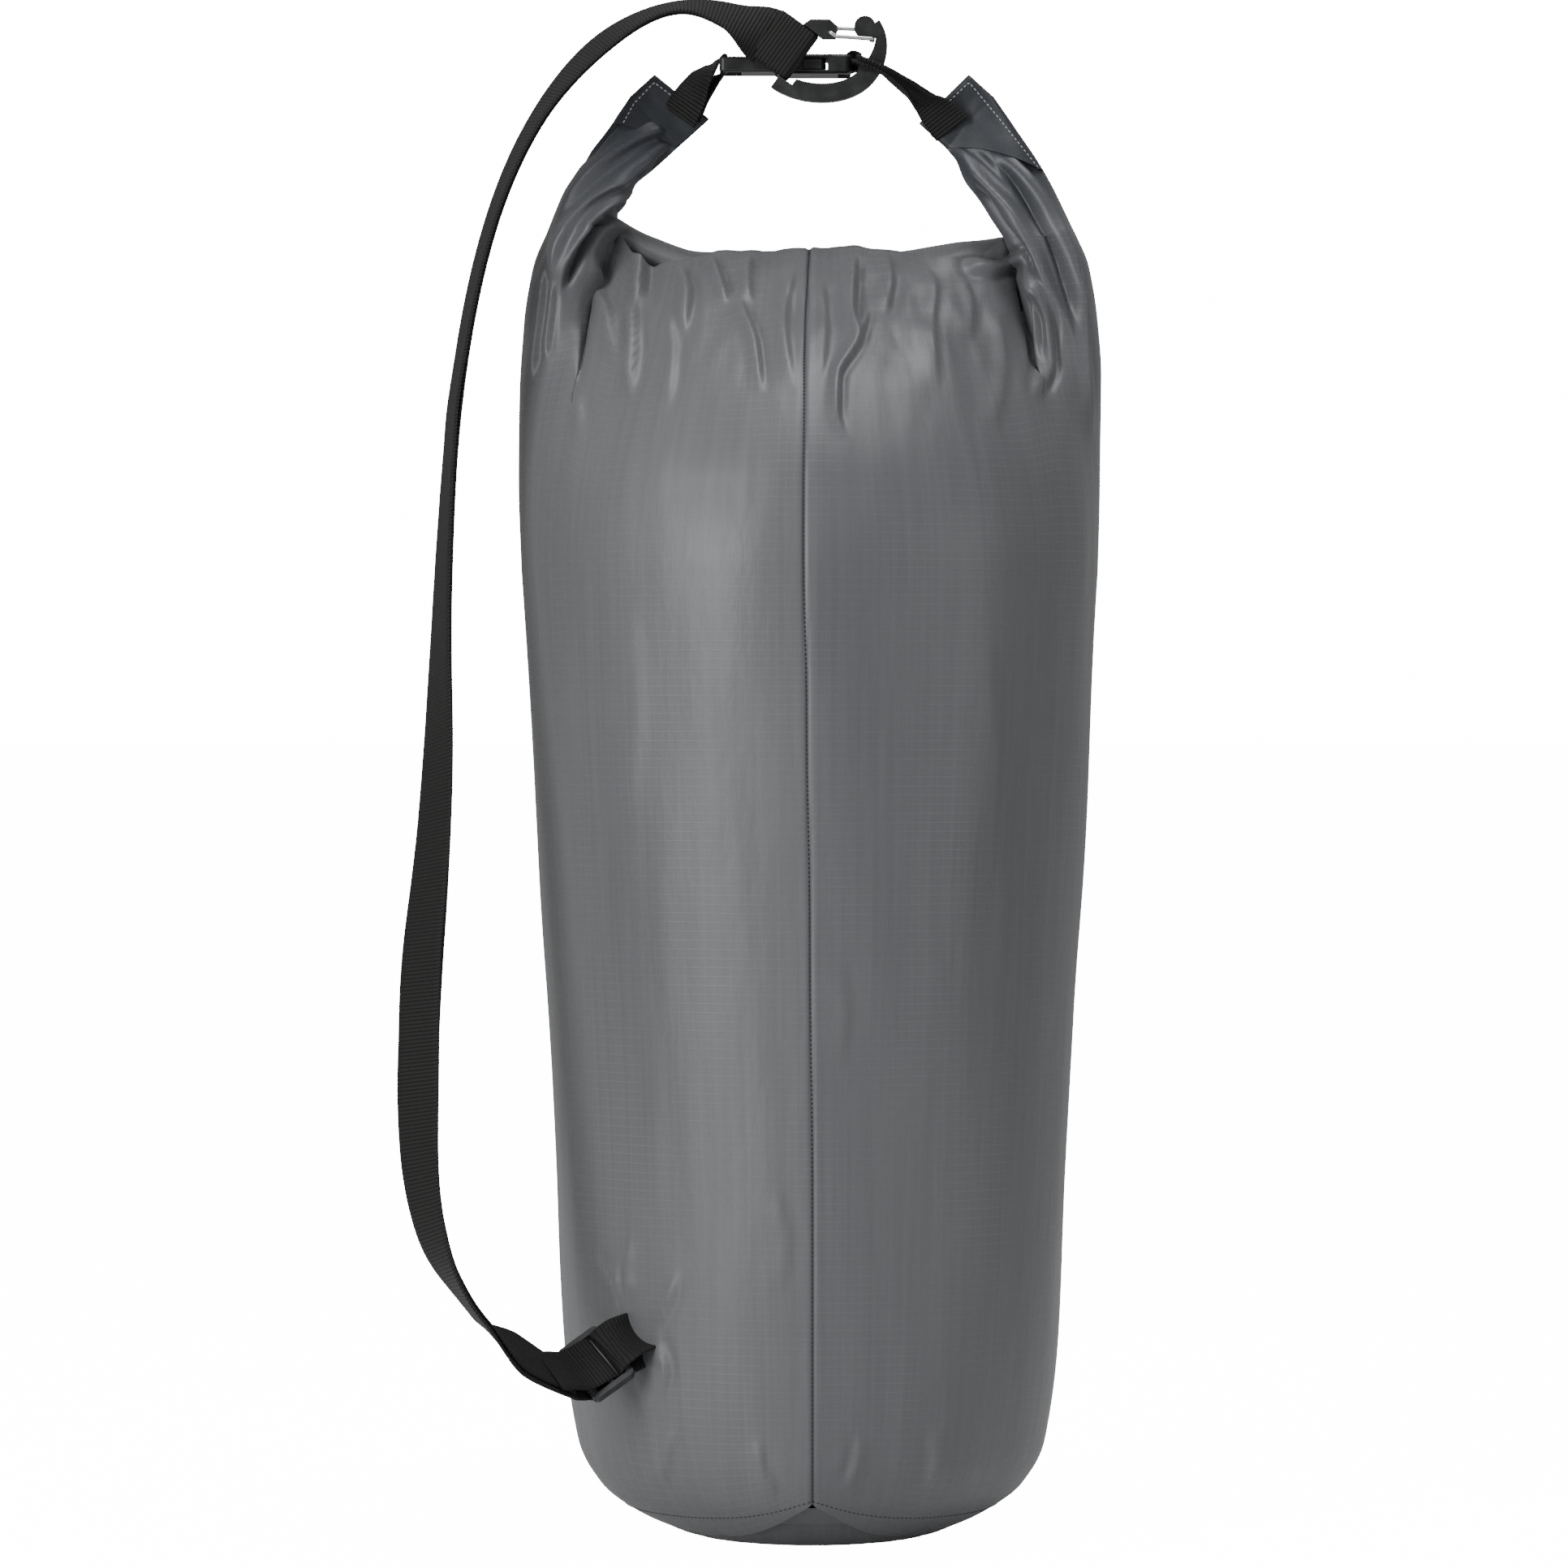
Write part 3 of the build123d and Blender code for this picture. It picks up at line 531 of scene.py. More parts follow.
# ---- shoulder strap
def strap_line():
    """The strap's route as a smooth curve, and points read from it, in millimetres."""
    curve = bpy.data.curves.new("strap_route", "CURVE")
    curve.dimensions = "3D"
    curve.resolution_u = 40
    spline = curve.splines.new("NURBS")
    spline.points.add(len(STRAP_ROUTE) - 1)
    for point, place in zip(spline.points, STRAP_ROUTE):
        point.co = (*(Vector(place) * MM), 1.0)
    spline.order_u = 3
    spline.use_endpoint_u = True
    holder = bpy.data.objects.new("strap_route", curve)
    bpy.context.scene.collection.objects.link(holder)
    line = bpy.data.meshes.new_from_object(holder)
    points = np.array([v.co for v in line.vertices]) / MM
    bpy.data.objects.remove(holder)
    return points


def even(points, step):
    """Points a step apart along a line, and their shares of its length."""
    run = run_along(points)
    at = np.linspace(0, run[-1], int(run[-1] / step) + 1)
    return np.stack([np.interp(at, run, points[:, k]) for k in range(3)], 1), at / run[-1]


def make_strap():
    """The shoulder strap: two layers of webbing along its route, shown a little apart."""
    centres, share = even(strap_line(), STRAP_STEP)
    route = np.array(STRAP_ROUTE)
    nearest = [np.linalg.norm(centres - p, axis=1).argmin() for p in route]
    stops = share[nearest]
    stops[0] = 0.0
    stops[-1] = 1.0
    edges = np.stack([smooth(share, stops, np.array(STRAP_EDGE)[:, k]) for k in range(3)], 1)
    parting = sum(hump(share, *place) for place in PARTINGS)
    layer = (WEBBING + LAYER_GAP) / 2
    outer = band(centres, edges, STRAP_WIDTH, lift=layer)
    shifted = centres + unit(edges) * LAYER_SHIFT
    inner = band(shifted, edges, STRAP_WIDTH, lift=-layer - parting)
    strap = joined("shoulder_strap_webbing", [outer, inner], webbing)
    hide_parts("shoulder_strap")
    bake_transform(strap)
    return strap


# ---- body cloth
HALF_COLUMNS = 300
LOW_ROWS = 100
HIGH_ROWS = 120
EAR_ROWS = 76
TURNED_WEAVE_SHADE = 0.2  # painted shade: right of the long seam the cloth's nap runs the other way and shows less sheen, and its colour is darkened to stand in for that
EAR_TONE = 0.34  # at the foot of each ear, from where the cloth grows darker towards the tip
GATHER_HEIGHT = 55.0  # of the cloth that darkens as it gathers into an ear
NOTCH_HEIGHT = 20.0  # of the notch in the shell's edge at the foot of the long seam
NOTCH_WIDTH = 0.16
NOTCH_FADE = 60.0
SADDLE_X = 88.0
SADDLE_OUTER_Z = 592.0
EAR_DEPTH = [(0.0, 22.0), (0.3, 17.0), (0.6, 11.5), (0.85, 5.5), (1.0, 1.0)]
PLEATS = 2.3  # folds across the near or far half of an ear
EAR_TWIST = 1.3  # how many folds they move across by, from the saddle to the tip
PLEAT_DEPTH = {True: 0.6, False: 1.8}  # on the near side, which has its own folds, and on the far side


def outer_edge(c, z):
    """Distance from the middle to the ear's outer edge, on the side that c lies on."""
    return np.where(c < 0, look_up(LEFT_OUTER, z), look_up(RIGHT_OUTER, z))


def ear_share(c):
    """How far across an ear a column lies, from its inner to its outer edge."""
    return np.clip((np.abs(c) - EAR_FROM) / (1 - EAR_FROM), 0, 1)


def wall_point(c, row_share, near):
    """Points of the wall between the shoulder and the saddle for the columns c."""
    e = ear_share(c)
    side = np.where(c < 0, -1, 1)
    saddle_z = np.where(c < 0, LEFT_INNER[0][1], RIGHT_INNER[0][1])
    across_ear = (1 - np.cos(math.pi * e)) / 2
    between_ears = np.abs(c) < EAR_FROM
    ear_x = SADDLE_X + across_ear * (outer_edge(c, SADDLE_OUTER_Z) - SADDLE_X)
    ear_z = saddle_z + across_ear * (SADDLE_OUTER_Z - saddle_z)
    top_x = np.where(between_ears, np.abs(c) / EAR_FROM * SADDLE_X, ear_x)
    top_z = np.where(between_ears, look_up(NEAR_TOP, side * top_x), ear_z)
    z = SHOULDER_Z + row_share * (top_z - SHOULDER_Z)
    edge = outer_edge(c, z)
    edge_top = outer_edge(c, top_z)
    lean = ease(row_share) ** 1.1
    circle_x = np.sin(math.pi / 2 * np.abs(c))
    x = edge * ((1 - lean) * circle_x + lean * np.minimum(1.0, top_x / edge_top))
    level = np.minimum(z, BODY_DEPTH[-1][0])
    depth = look_up(BODY_DEPTH if near else FAR_DEPTH, level)
    circle_y = np.cos(math.pi / 2 * c)
    inside = np.clip(np.abs(c) / EAR_FROM, 0, 1)
    flat_y = np.sqrt(np.clip(1 - inside**2, 0, 1)) * 0.999
    ear_y = np.sin(math.pi * e)
    turn = ease((row_share - 0.25) / 0.75)
    y = depth * ((1 - turn) * circle_y + turn * flat_y) + turn * EAR_DEPTH[0][1] * ear_y
    return np.stack([side * x, (-y if near else y), z], 1)


def ear_point(side, c, row_share, near):
    """Points of one ear's tube between the saddle and its tip."""
    inner = along_path(LEFT_INNER if side < 0 else RIGHT_INNER, row_share)
    table = LEFT_OUTER if side < 0 else RIGHT_OUTER
    outer_path = [(x, z) for z, x in table if z > SADDLE_OUTER_Z]
    outer_path.insert(0, (float(look_up(table, SADDLE_OUTER_Z)), SADDLE_OUTER_Z))
    outer = along_path(outer_path, row_share)
    e = ear_share(c)
    across_ear = (1 - np.cos(math.pi * e)) / 2
    place = inner + across_ear[:, None] * (outer - inner)
    depth = look_up(EAR_DEPTH, row_share)
    fade = np.sin(math.pi * e) ** 0.6 * ease(row_share / 0.25) * ease((1 - row_share) / 0.2)
    pleats = 1 - 2 * np.abs(np.sin(math.pi * (PLEATS * e + EAR_TWIST * row_share + (0.1 if near else 0.6))))
    y = depth * np.sin(math.pi * e) + PLEAT_DEPTH[near] * fade * pleats
    return np.stack([side * place[:, 0], (-y if near else y), place[:, 1]], 1)


def low_point(c, z, near):
    """Points of the wall below the shoulder."""
    left_bulge = ease((z - 300) / 140) * np.where(c < 0, 1.5, 0.0)
    x = (look_up(BODY_WIDTH, z) + left_bulge) * np.sin(math.pi / 2 * c)
    y = look_up(BODY_DEPTH, z) * np.cos(math.pi / 2 * c)
    return np.stack([x, (-y if near else y), z], 1)


def seam_lift(c):
    """How far the lower edge rises towards the foot of the long seam, on the near side."""
    return NOTCH_HEIGHT * np.exp(-np.abs(c / NOTCH_WIDTH) ** 1.2)


FOLD_REACH = 6  # how many of its widths a fold is worked out to
FOLD_FADE = (0.22, 0.30)  # share of its length over which a fold begins and ends
LONG_FLANK = 1.3  # how much wider a skewed fold's gentle flank is
STEEP_FLANK = 0.45  # how much narrower its steep flank is
TROUGH_AWAY = 1.7  # how many widths from the crest its hollow lies
TROUGH_DEPTH = 0.35  # of that hollow, as a share of the height
# folds on the near side, as they look from the front: path in x and z, width, height, skew;
# skew 1 gives a steep flank on the path's right and -1 on its left, 0 an even ridge or hollow
NEAR_FOLDS = [
    # left ear: folds that run along the twist
    ([(-56, 645), (-78, 636), (-98, 622), (-110, 606), (-117, 590)], 2.3, 4.2, -1),
    ([(-60, 638), (-82, 622), (-102, 606), (-114, 588), (-122, 562)], 2.3, 5.0, -1),
    ([(-68, 628), (-84, 614), (-99, 600), (-109, 584)], 1.3, 2.6, -1),
    ([(-78, 621), (-94, 606), (-107, 589), (-113, 576), (-115.5, 562)], 2.2, 5.6, -1),
    ([(-91, 604), (-99, 594), (-108, 579), (-114, 567)], 1.8, -4.6, 0),
    ([(-84, 650), (-96, 637), (-105, 623)], 1.8, -2.6, 0),
    ([(-120, 586), (-123, 562), (-125, 542), (-128.5, 520)], 1.5, 2.4, -1),
    ([(-117.5, 574), (-119, 558), (-121.5, 535)], 1.3, 2.0, -1),
    # left saddle and pucker
    ([(-95, 603), (-84, 595), (-77, 583.5), (-78.5, 570), (-81.5, 557)], 2.4, 5.2, -1),
    ([(-80.5, 566), (-80, 545), (-83, 518)], 1.8, 4.2, -1),
    ([(-100, 588), (-98, 574), (-92, 556), (-89, 532)], 2.4, 3.2, -1),
    # right ear
    ([(62, 637), (78, 620), (92, 604), (102, 586), (110, 566), (120, 544)], 3.0, 5.6, -1),
    ([(80, 632), (96, 612), (109, 591), (117, 568), (123, 538)], 2.0, -5.2, 0),
    ([(86, 635), (103, 614), (114, 596), (121, 574), (126, 542)], 2.4, 3.8, -1),
    ([(75, 619), (88, 600), (98, 585), (107, 566)], 1.5, -5.0, 0),
    ([(96, 582), (103, 560), (103.5, 538), (101.5, 517)], 1.6, 5.0, 1),
    ([(101, 578), (108.5, 553), (109.5, 534), (102.5, 517)], 1.6, 4.2, -1),
    ([(103, 570), (106, 550), (106, 532)], 1.6, -3.0, 0),
    ([(116, 585), (123, 560), (126.5, 530), (128.5, 496)], 1.5, 2.2, -1),
    # right saddle
    ([(98, 584), (84, 577), (67, 579)], 1.9, 3.4, -1),
    ([(99, 590), (86, 583), (71, 585)], 1.6, -2.6, 0),
    # below the top edge
    ([(19.8, 584), (18.8, 560), (22, 543)], 1.8, 3.2, -1),
    ([(27, 564), (21, 544), (12, 528), (11.7, 513), (16, 499)], 1.7, 3.0, -1),
    ([(-46, 584), (-41, 571), (-38, 561)], 1.7, 3.2, -1),
    ([(-34, 566), (-25, 542), (-23, 520)], 1.7, 2.6, -1),
    ([(-7, 582), (-12.5, 555), (-8, 520)], 2.6, 1.9, -1),
    ([(-28, 585), (-29, 572), (-27, 563)], 1.8, 2.2, -1),
    ([(34, 585), (36, 572), (33, 556)], 2.6, 2.0, -1),
    ([(50, 583), (56, 568), (55, 550), (58, 522)], 2.2, 1.3, -1),
    ([(68, 576), (73, 560), (72, 544)], 2.8, 1.9, -1),
    ([(-61, 582), (-56, 567), (-59, 548)], 2.0, 2.6, -1),
    ([(-66, 562), (-63, 540), (-66, 510)], 2.2, 1.7, -1),
    ([(-106, 556), (-107, 530), (-104, 498)], 2.4, 1.7, -1),
    ([(84, 560), (88, 535), (84, 503)], 2.4, 1.9, -1),
    ([(4, 575), (6, 552), (4, 524)], 2.6, 1.4, -1),
    # lower tab's puckers
    ([(-86, 104), (-90, 116), (-98, 128)], 1.5, 2.2, -1),
    ([(-82, 106), (-84, 120), (-82, 138)], 1.5, 2.0, -1),
    ([(-72, 97), (-66, 104), (-60, 118)], 1.5, 1.8, 1),
    ([(-71, 88), (-66, 76), (-68, 62)], 1.8, 2.0, -1),
    ([(-76, 84), (-78, 70), (-73, 52)], 2.2, 1.8, 1),
    # low on the body
    ([(-68, 22), (-66, 34), (-62, 50)], 2.4, 1.5, 1),
    ([(52, 20), (56, 34), (54, 50)], 2.4, 1.4, -1),
    ([(14, 20), (20, 32), (22, 48)], 2.0, 1.6, -1),
    ([(-14, 19), (-22, 30), (-24, 44)], 2.0, 1.6, 1),
    ([(10, 262), (16, 240), (12, 214)], 3.0, 0.9, -1),
    ([(-16, 158), (-11, 132), (-15, 108)], 3.0, 0.9, -1),
    ([(-84, 430), (-80, 380), (-85, 320)], 9.0, 0.9, -1),
    ([(78, 410), (84, 350), (79, 290)], 9.0, 0.9, -1),
]
# the far side isn't seen from the front: folds of the same kind
FAR_FOLDS = [
    ([(-60, 646), (-78, 632), (-98, 615), (-110, 592), (-116, 566)], 3.4, 4.0, 1),
    ([(-80, 616), (-96, 598), (-104, 576), (-104, 548)], 3.2, 3.6, -1),
    ([(60, 646), (80, 630), (100, 612), (112, 590), (119, 560)], 3.4, 4.0, -1),
    ([(78, 612), (94, 596), (101, 574), (100, 544)], 3.2, 3.6, 1),
    ([(-60, 566), (-56, 540), (-60, 510)], 4.0, 2.0, 1),
    ([(-30, 568), (-34, 540), (-30, 500)], 4.0, 1.6, -1),
    ([(8, 568), (4, 545), (9, 515)], 3.6, 1.5, 1),
    ([(36, 568), (40, 545), (36, 510)], 4.0, 1.8, 1),
    ([(64, 566), (60, 540), (66, 505)], 4.0, 2.0, -1),
]
# long seam on the near side, as it looks from the front: x at each height
LONG_SEAM = [
    (586, -1.2), (560, -2.6), (530, -3.6), (460, -3.7), (380, -2.4), (250, -0.6), (120, 0.4), (16, 0.4),
]
SEAM_TOP = 588.0
# profile across the seam: place beside it, width, height
SEAM_LIP = (2.2, 1.6, 0.35)
SEAM_GROOVE = (0.0, 1.0, -0.9)
SEAM_SHADE = (0.0, 0.8)
# unevenness of the cloth: its size, where its noise starts, its height, and how much is added in the gather
SAG = [
    ((46, 46, 120), (0, 0, 0), 1.5, 0.0),
    ((13, 30, 95), (40, 0, 0), 0.35, 1.9),
    ((7, 12, 60), (9, 0, 3), 0.10, 0.7),
]
GATHER_Z = 572.0
GATHER_SPREAD = 46.0


def path_coordinates(flat, path):
    """Share along a path and signed distance from it, for points in the front plane."""
    path = np.asarray(path, float)
    finer = along_path(path, np.linspace(0, 1, 8 * len(path)))
    best = np.full(len(flat), 1e9)
    aside = np.zeros(len(flat))
    share = np.zeros(len(flat))
    count = len(finer) - 1
    for k in range(count):
        a = finer[k]
        d = finer[k + 1] - a
        length = np.hypot(*d)
        t = np.clip(((flat - a) @ d) / length**2, 0, 1)
        off = flat - a - t[:, None] * d
        far = np.hypot(off[:, 0], off[:, 1])
        closer = far < best
        sign = np.sign(d[0] * off[:, 1] - d[1] * off[:, 0])
        aside = np.where(closer, sign * far, aside)
        share = np.where(closer, (k + t) / count, share)
        best = np.where(closer, far, best)
    return share, aside


def fold_push(flat, path, width, height, skew):
    """Displacement of a fold along a path: a ridge, and with skew a steep flank and a hollow."""
    path = np.asarray(path, float)
    low = path.min(0) - FOLD_REACH * width
    high = path.max(0) + FOLD_REACH * width
    near = np.all((flat > low) & (flat < high), axis=1)
    push = np.zeros(len(flat))
    if not near.any():
        return push
    share, aside = path_coordinates(flat[near], path)
    flank = np.where(aside * skew >= 0, 1 + LONG_FLANK * abs(skew), 1 - STEEP_FLANK * abs(skew))
    crest = hump(aside, 0.0, width * flank)
    trough = hump(aside, -TROUGH_AWAY * skew * width, width, TROUGH_DEPTH * abs(skew))
    fade = ease(share / FOLD_FADE[0]) * ease((1 - share) / FOLD_FADE[1])
    push[near] = height * fade * (crest - trough)
    return push


def vertex_normals(verts, faces):
    quads = np.array(faces)
    a = verts[quads[:, 2]] - verts[quads[:, 0]]
    b = verts[quads[:, 3]] - verts[quads[:, 1]]
    face_normal = np.cross(a, b)
    normals = np.zeros_like(verts)
    for k in range(4):
        np.add.at(normals, quads[:, k], face_normal)
    return unit(normals + 1e-12)


def welded(verts, faces, uvs, tones, reach=0.01):
    """The same mesh with coincident points made one."""
    keys = {}
    index = np.zeros(len(verts), int)
    kept = []
    for i, key in enumerate(map(tuple, np.round(verts / reach).astype(int))):
        if key not in keys:
            keys[key] = len(kept)
            kept.append(i)
        index[i] = keys[key]
    faces = [tuple(index[list(face)]) for face in faces]
    faces = [face for face in faces if len(set(face)) == len(face)]
    return verts[kept], faces, uvs[kept], tones[kept]


def wall_rows(c, near):
    """Rows of points of the near or far wall up to the saddle, and the flat cloth's height at each."""
    low = SEAM_Z + (SHOULDER_Z - SEAM_Z) * np.linspace(0, 1, LOW_ROWS) ** 1.25
    high = np.linspace(0, 1, HIGH_ROWS)[1:]
    rows = []
    for z in low:
        lift = seam_lift(c) * (1 - ease((z - SEAM_Z) / NOTCH_FADE)) if near else np.zeros_like(c)
        rows.append(low_point(c, z + lift, near))
    rows += [wall_point(c, share, near) for share in high]
    return np.array(rows), np.r_[low, SHOULDER_Z + high * WALL_CLOTH]


def wall_tones(c, heights, near):
    """How dark the wall's cloth is: painted shade right of the long seam and, at half strength, on the far
    side, and most beside the ears.
    """
    rise = ease((heights - SHOULDER_Z - WALL_CLOTH) / GATHER_HEIGHT + 1)[:, None]
    beside = ease((np.abs(c) - EAR_FROM + 0.06) / 0.12)[None, :]
    # painted shade: the cloth right of the long seam, and the far side at half strength, is darkened for its
    # weaker sheen
    turned = TURNED_WEAVE_SHADE * ease((c * HALF_GIRTH / 2 - 0.5) / 3.0)[None, :] if near else TURNED_WEAVE_SHADE / 2
    return turned + (EAR_TONE - turned) * rise * beside


def add_patch(cloth, rows, u, v, tones, near):
    """Add a grid of points to the shell, with its cloth coordinates and tones."""
    first = sum(len(part) for part in cloth["verts"])
    quads = grid_faces(len(rows), len(u), first)
    cloth["verts"].append(rows.reshape(-1, 3))
    cloth["faces"] += quads if near else [tuple(reversed(q)) for q in quads]
    cloth["uvs"].append(np.stack(np.broadcast_arrays(u[None, :], v[:, None]), -1).reshape(-1, 2))
    cloth["tones"].append(tones.ravel())


def cloth_grid():
    """Points, quads, cloth coordinates and tones of the whole shell, before its folds."""
    cloth = {"verts": [], "faces": [], "uvs": [], "tones": []}
    c_near = np.linspace(-1, 1, HALF_COLUMNS + 1)
    shares = np.linspace(0, 1, EAR_ROWS)
    ear_v = SHOULDER_Z + WALL_CLOTH + EAR_CLOTH * shares
    for near in (True, False):
        start = 0 if near else 2
        rows, heights = wall_rows(c_near, near)
        u = (c_near + start) * HALF_GIRTH / 2
        add_patch(cloth, rows, u, heights, wall_tones(c_near, heights, near), near)
        for side in (-1, 1):
            c = c_near[(np.abs(c_near) >= EAR_FROM - 1e-9) & (np.sign(c_near) == side)]
            rows = np.array([ear_point(side, c, share, near) for share in shares])
            tones = np.repeat(EAR_TONE + 0.5 * ease(shares / 0.8), len(c))
            add_patch(cloth, rows, (c + start) * HALF_GIRTH / 2, ear_v, tones, near)
    uvs = np.vstack(cloth["uvs"]) * MM
    return np.vstack(cloth["verts"]), cloth["faces"], uvs, np.concatenate(cloth["tones"])


def sag(verts):
    """Slow unevenness of the filled cloth, with upright folds that gather below the mouth."""
    push = np.zeros(len(verts))
    gather = hump(verts[:, 2], GATHER_Z, GATHER_SPREAD)
    for size, start, plain, gathered in SAG:
        places = verts / size + start
        waves = np.array([noise.noise(Vector(place)) for place in places])
        push += (plain + gathered * gather) * waves
    return push


def make_shell():
    """Body and ears as one sheet of cloth, with its folds and the groove of the long seam."""
    verts, faces, uvs, tones = cloth_grid()
    verts, faces, uvs, tones = welded(verts, faces, uvs, tones)
    normals = vertex_normals(verts, faces)
    flat = in_front_plane(verts)
    near = ease((-verts[:, 1] + 1.0) / 3.0)
    far = ease((verts[:, 1] + 1.0) / 3.0)
    push = sag(verts) * ease((verts[:, 2] - 10) / 26) * (1 - 0.8 * ease((verts[:, 2] - 585) / 25))
    for path, width, height, skew in NEAR_FOLDS:
        push += near * fold_push(flat, path, width, height, skew)
    for path, width, height, skew in FAR_FOLDS:
        push += far * fold_push(verts[:, [0, 2]], path, width, height, skew)
    # the long seam: a groove with a raised lip on its right
    beside = flat[:, 0] - look_up(LONG_SEAM[::-1], flat[:, 1])
    on_seam = near * (flat[:, 1] < SEAM_TOP)
    push += on_seam * (hump(beside, *SEAM_LIP) + hump(beside, *SEAM_GROOVE))
    # painted shade along the seam's groove
    tones = np.maximum(tones, on_seam * hump(beside, *SEAM_SHADE))
    verts = verts + normals * push[:, None]
    shell = make_object("bag_shell", verts, faces, uvs, shell_cloth, tones)
    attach(shell, "bag")
    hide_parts("body_panel", "left_ear", "right_ear")
    return shell


# ---- rolled mouth
ROLL_TOP = [
    (-92, 604), (-74, 594), (-52, 587), (-20, 585.5), (20, 585.5), (45, 587.5), (68, 591), (90, 593.5),
]
ROLL_END = 92.0
ROLL_TURNS = 2.6
ROLL_HALF = (19.0, 11.0)  # half depth and half height of the outermost turn
ROLL_SHRINK = 0.62  # share of its size that the spiral loses from its outer to its inner end
ROLL_Y = 15.0
ROLL_COLUMNS = 90
ROLL_ROWS = 130
ROLL_CLOTH = 220.0  # length of cloth shown along the spiral
CLOTH_THICKNESS = 0.5


def make_roll():
    """The mouth, rolled down on the far side: a spiral of cloth between the ears."""
    verts = []
    uvs = []
    for i in range(ROLL_COLUMNS):
        x = ROLL_END * (2 * i / (ROLL_COLUMNS - 1) - 1)
        top = float(look_up(ROLL_TOP, x))
        pinch = 1 - 0.35 * abs(x / ROLL_END) ** 6
        for j in range(ROLL_ROWS):
            share = j / (ROLL_ROWS - 1)
            turn = math.pi * (0.5 + 2 * ROLL_TURNS * share)
            wave = 1 + 0.05 * noise.noise(Vector((x / 16, math.cos(turn) * 1.4, math.sin(turn) * 1.4)))
            size = (1 - ROLL_SHRINK * share) * wave
            y = ROLL_Y + ROLL_HALF[0] * size * math.cos(turn) * pinch
            z = top - ROLL_HALF[1] + ROLL_HALF[1] * size * math.sin(turn)
            verts.append((x, y, z))
            uvs.append((x * MM, share * ROLL_CLOTH * MM))
    faces = grid_faces(ROLL_COLUMNS, ROLL_ROWS)
    roll = make_object("rolled_mouth", verts, faces, uvs, shell_cloth)
    thick = roll.modifiers.new("cloth", "SOLIDIFY")
    thick.thickness = CLOTH_THICKNESS * MM
    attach(roll, "bag")
    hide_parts("mouth_roll")
    return roll


# ---- base panel
# rings of the base from its middle outwards: radius, height; it rests on the first four
BASE_RINGS = [
    (0.0, 0.6), (20, 0.4), (36, 0.2), (48, 0.3), (57, 2.2), (64, 5.0), (72, 8.6), (79, 13.5), (84, 19.0),
    (86, 26.0),
]
BASE_FLAT = 48.0
BASE_COLUMNS = 160


def make_base():
    """Round base panel, puckered where it rises to its seam."""
    verts = []
    uvs = []
    for radius, height in BASE_RINGS:
        for i in range(BASE_COLUMNS):
            turn = 2 * math.pi * i / BASE_COLUMNS
            pucker = 0.125 * math.sin(turn * 23) + 0.1 * math.sin(turn * 41 + 1)
            x = radius * math.cos(turn)
            y = radius * math.sin(turn)
            verts.append((x, y, max(0.0, height + pucker * (radius > BASE_FLAT))))
            uvs.append((x * MM, y * MM))
    faces = [tuple(reversed(q)) for q in grid_faces(len(BASE_RINGS), BASE_COLUMNS, closed=True)]
    base = make_object("base_round", verts, faces, uvs, base_cloth)
    subdivide(base)
    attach(base, "bag")
    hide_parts("base_panel")
    return base


# ---- thread
def surface_of(objects):
    """A search tree over the finished surface of some objects."""
    graph = bpy.context.evaluated_depsgraph_get()
    verts = []
    faces = []
    for obj in objects:
        mesh = obj.evaluated_get(graph).to_mesh()
        first = len(verts)
        verts += [obj.matrix_world @ v.co for v in mesh.vertices]
        faces += [tuple(first + k for k in p.vertices) for p in mesh.polygons]
    return BVHTree.FromPolygons(verts, faces)


def seen_from_front(tree, x, z):
    """Where the line of sight through (x, z) in the plane y = 0 meets the surface, and its normal."""
    eye = Vector((CAMERA_AIM[0], -CAMERA_DISTANCE, CAMERA_HEIGHT)) * MM
    aim = Vector((x, 0, z)) * MM
    hit, normal, _, _ = tree.ray_cast(eye, (aim - eye).normalized())
    return hit, normal


# pitch, length and radius of the stitches of each seam
LONG_STITCH = (STITCH_PITCH, 1.4, 0.36)
BASE_STITCH = (STITCH_PITCH + 0.3, 1.6, 0.26)
HEM_STITCH = (2.3, 1.6, 0.3)
STITCH_LIFT = 0.1
# one stitch: share of its length, share of its radius
STITCH_RINGS = [(-0.5, 0.25), (-0.38, 0.8), (0.0, 1.0), (0.38, 0.8), (0.5, 0.25)]
STITCH_SIDES = 6
SEAM_LINE_RISE = 11.0  # how far the base seam's stitches lie above the edge of the shell
SEAM_STEPS = 720


def stitch(ends, out, length, radius):
    """Points of one stitch between two ends, sunk into the cloth at both."""
    along = unit(ends[1] - ends[0])
    out = unit(out - (out @ along) * along)
    side = np.cross(along, out)
    middle = (ends[0] + ends[1]) / 2 + out * STITCH_LIFT
    verts = []
    for share, full in STITCH_RINGS:
        sink = -1.2 * radius * (2 * share) ** 4
        for k in range(STITCH_SIDES):
            turn = 2 * math.pi * k / STITCH_SIDES
            ring = (math.cos(turn) * out + math.sin(turn) * side) * radius * full
            verts.append(middle + along * share * length + ring + out * sink)
    return verts


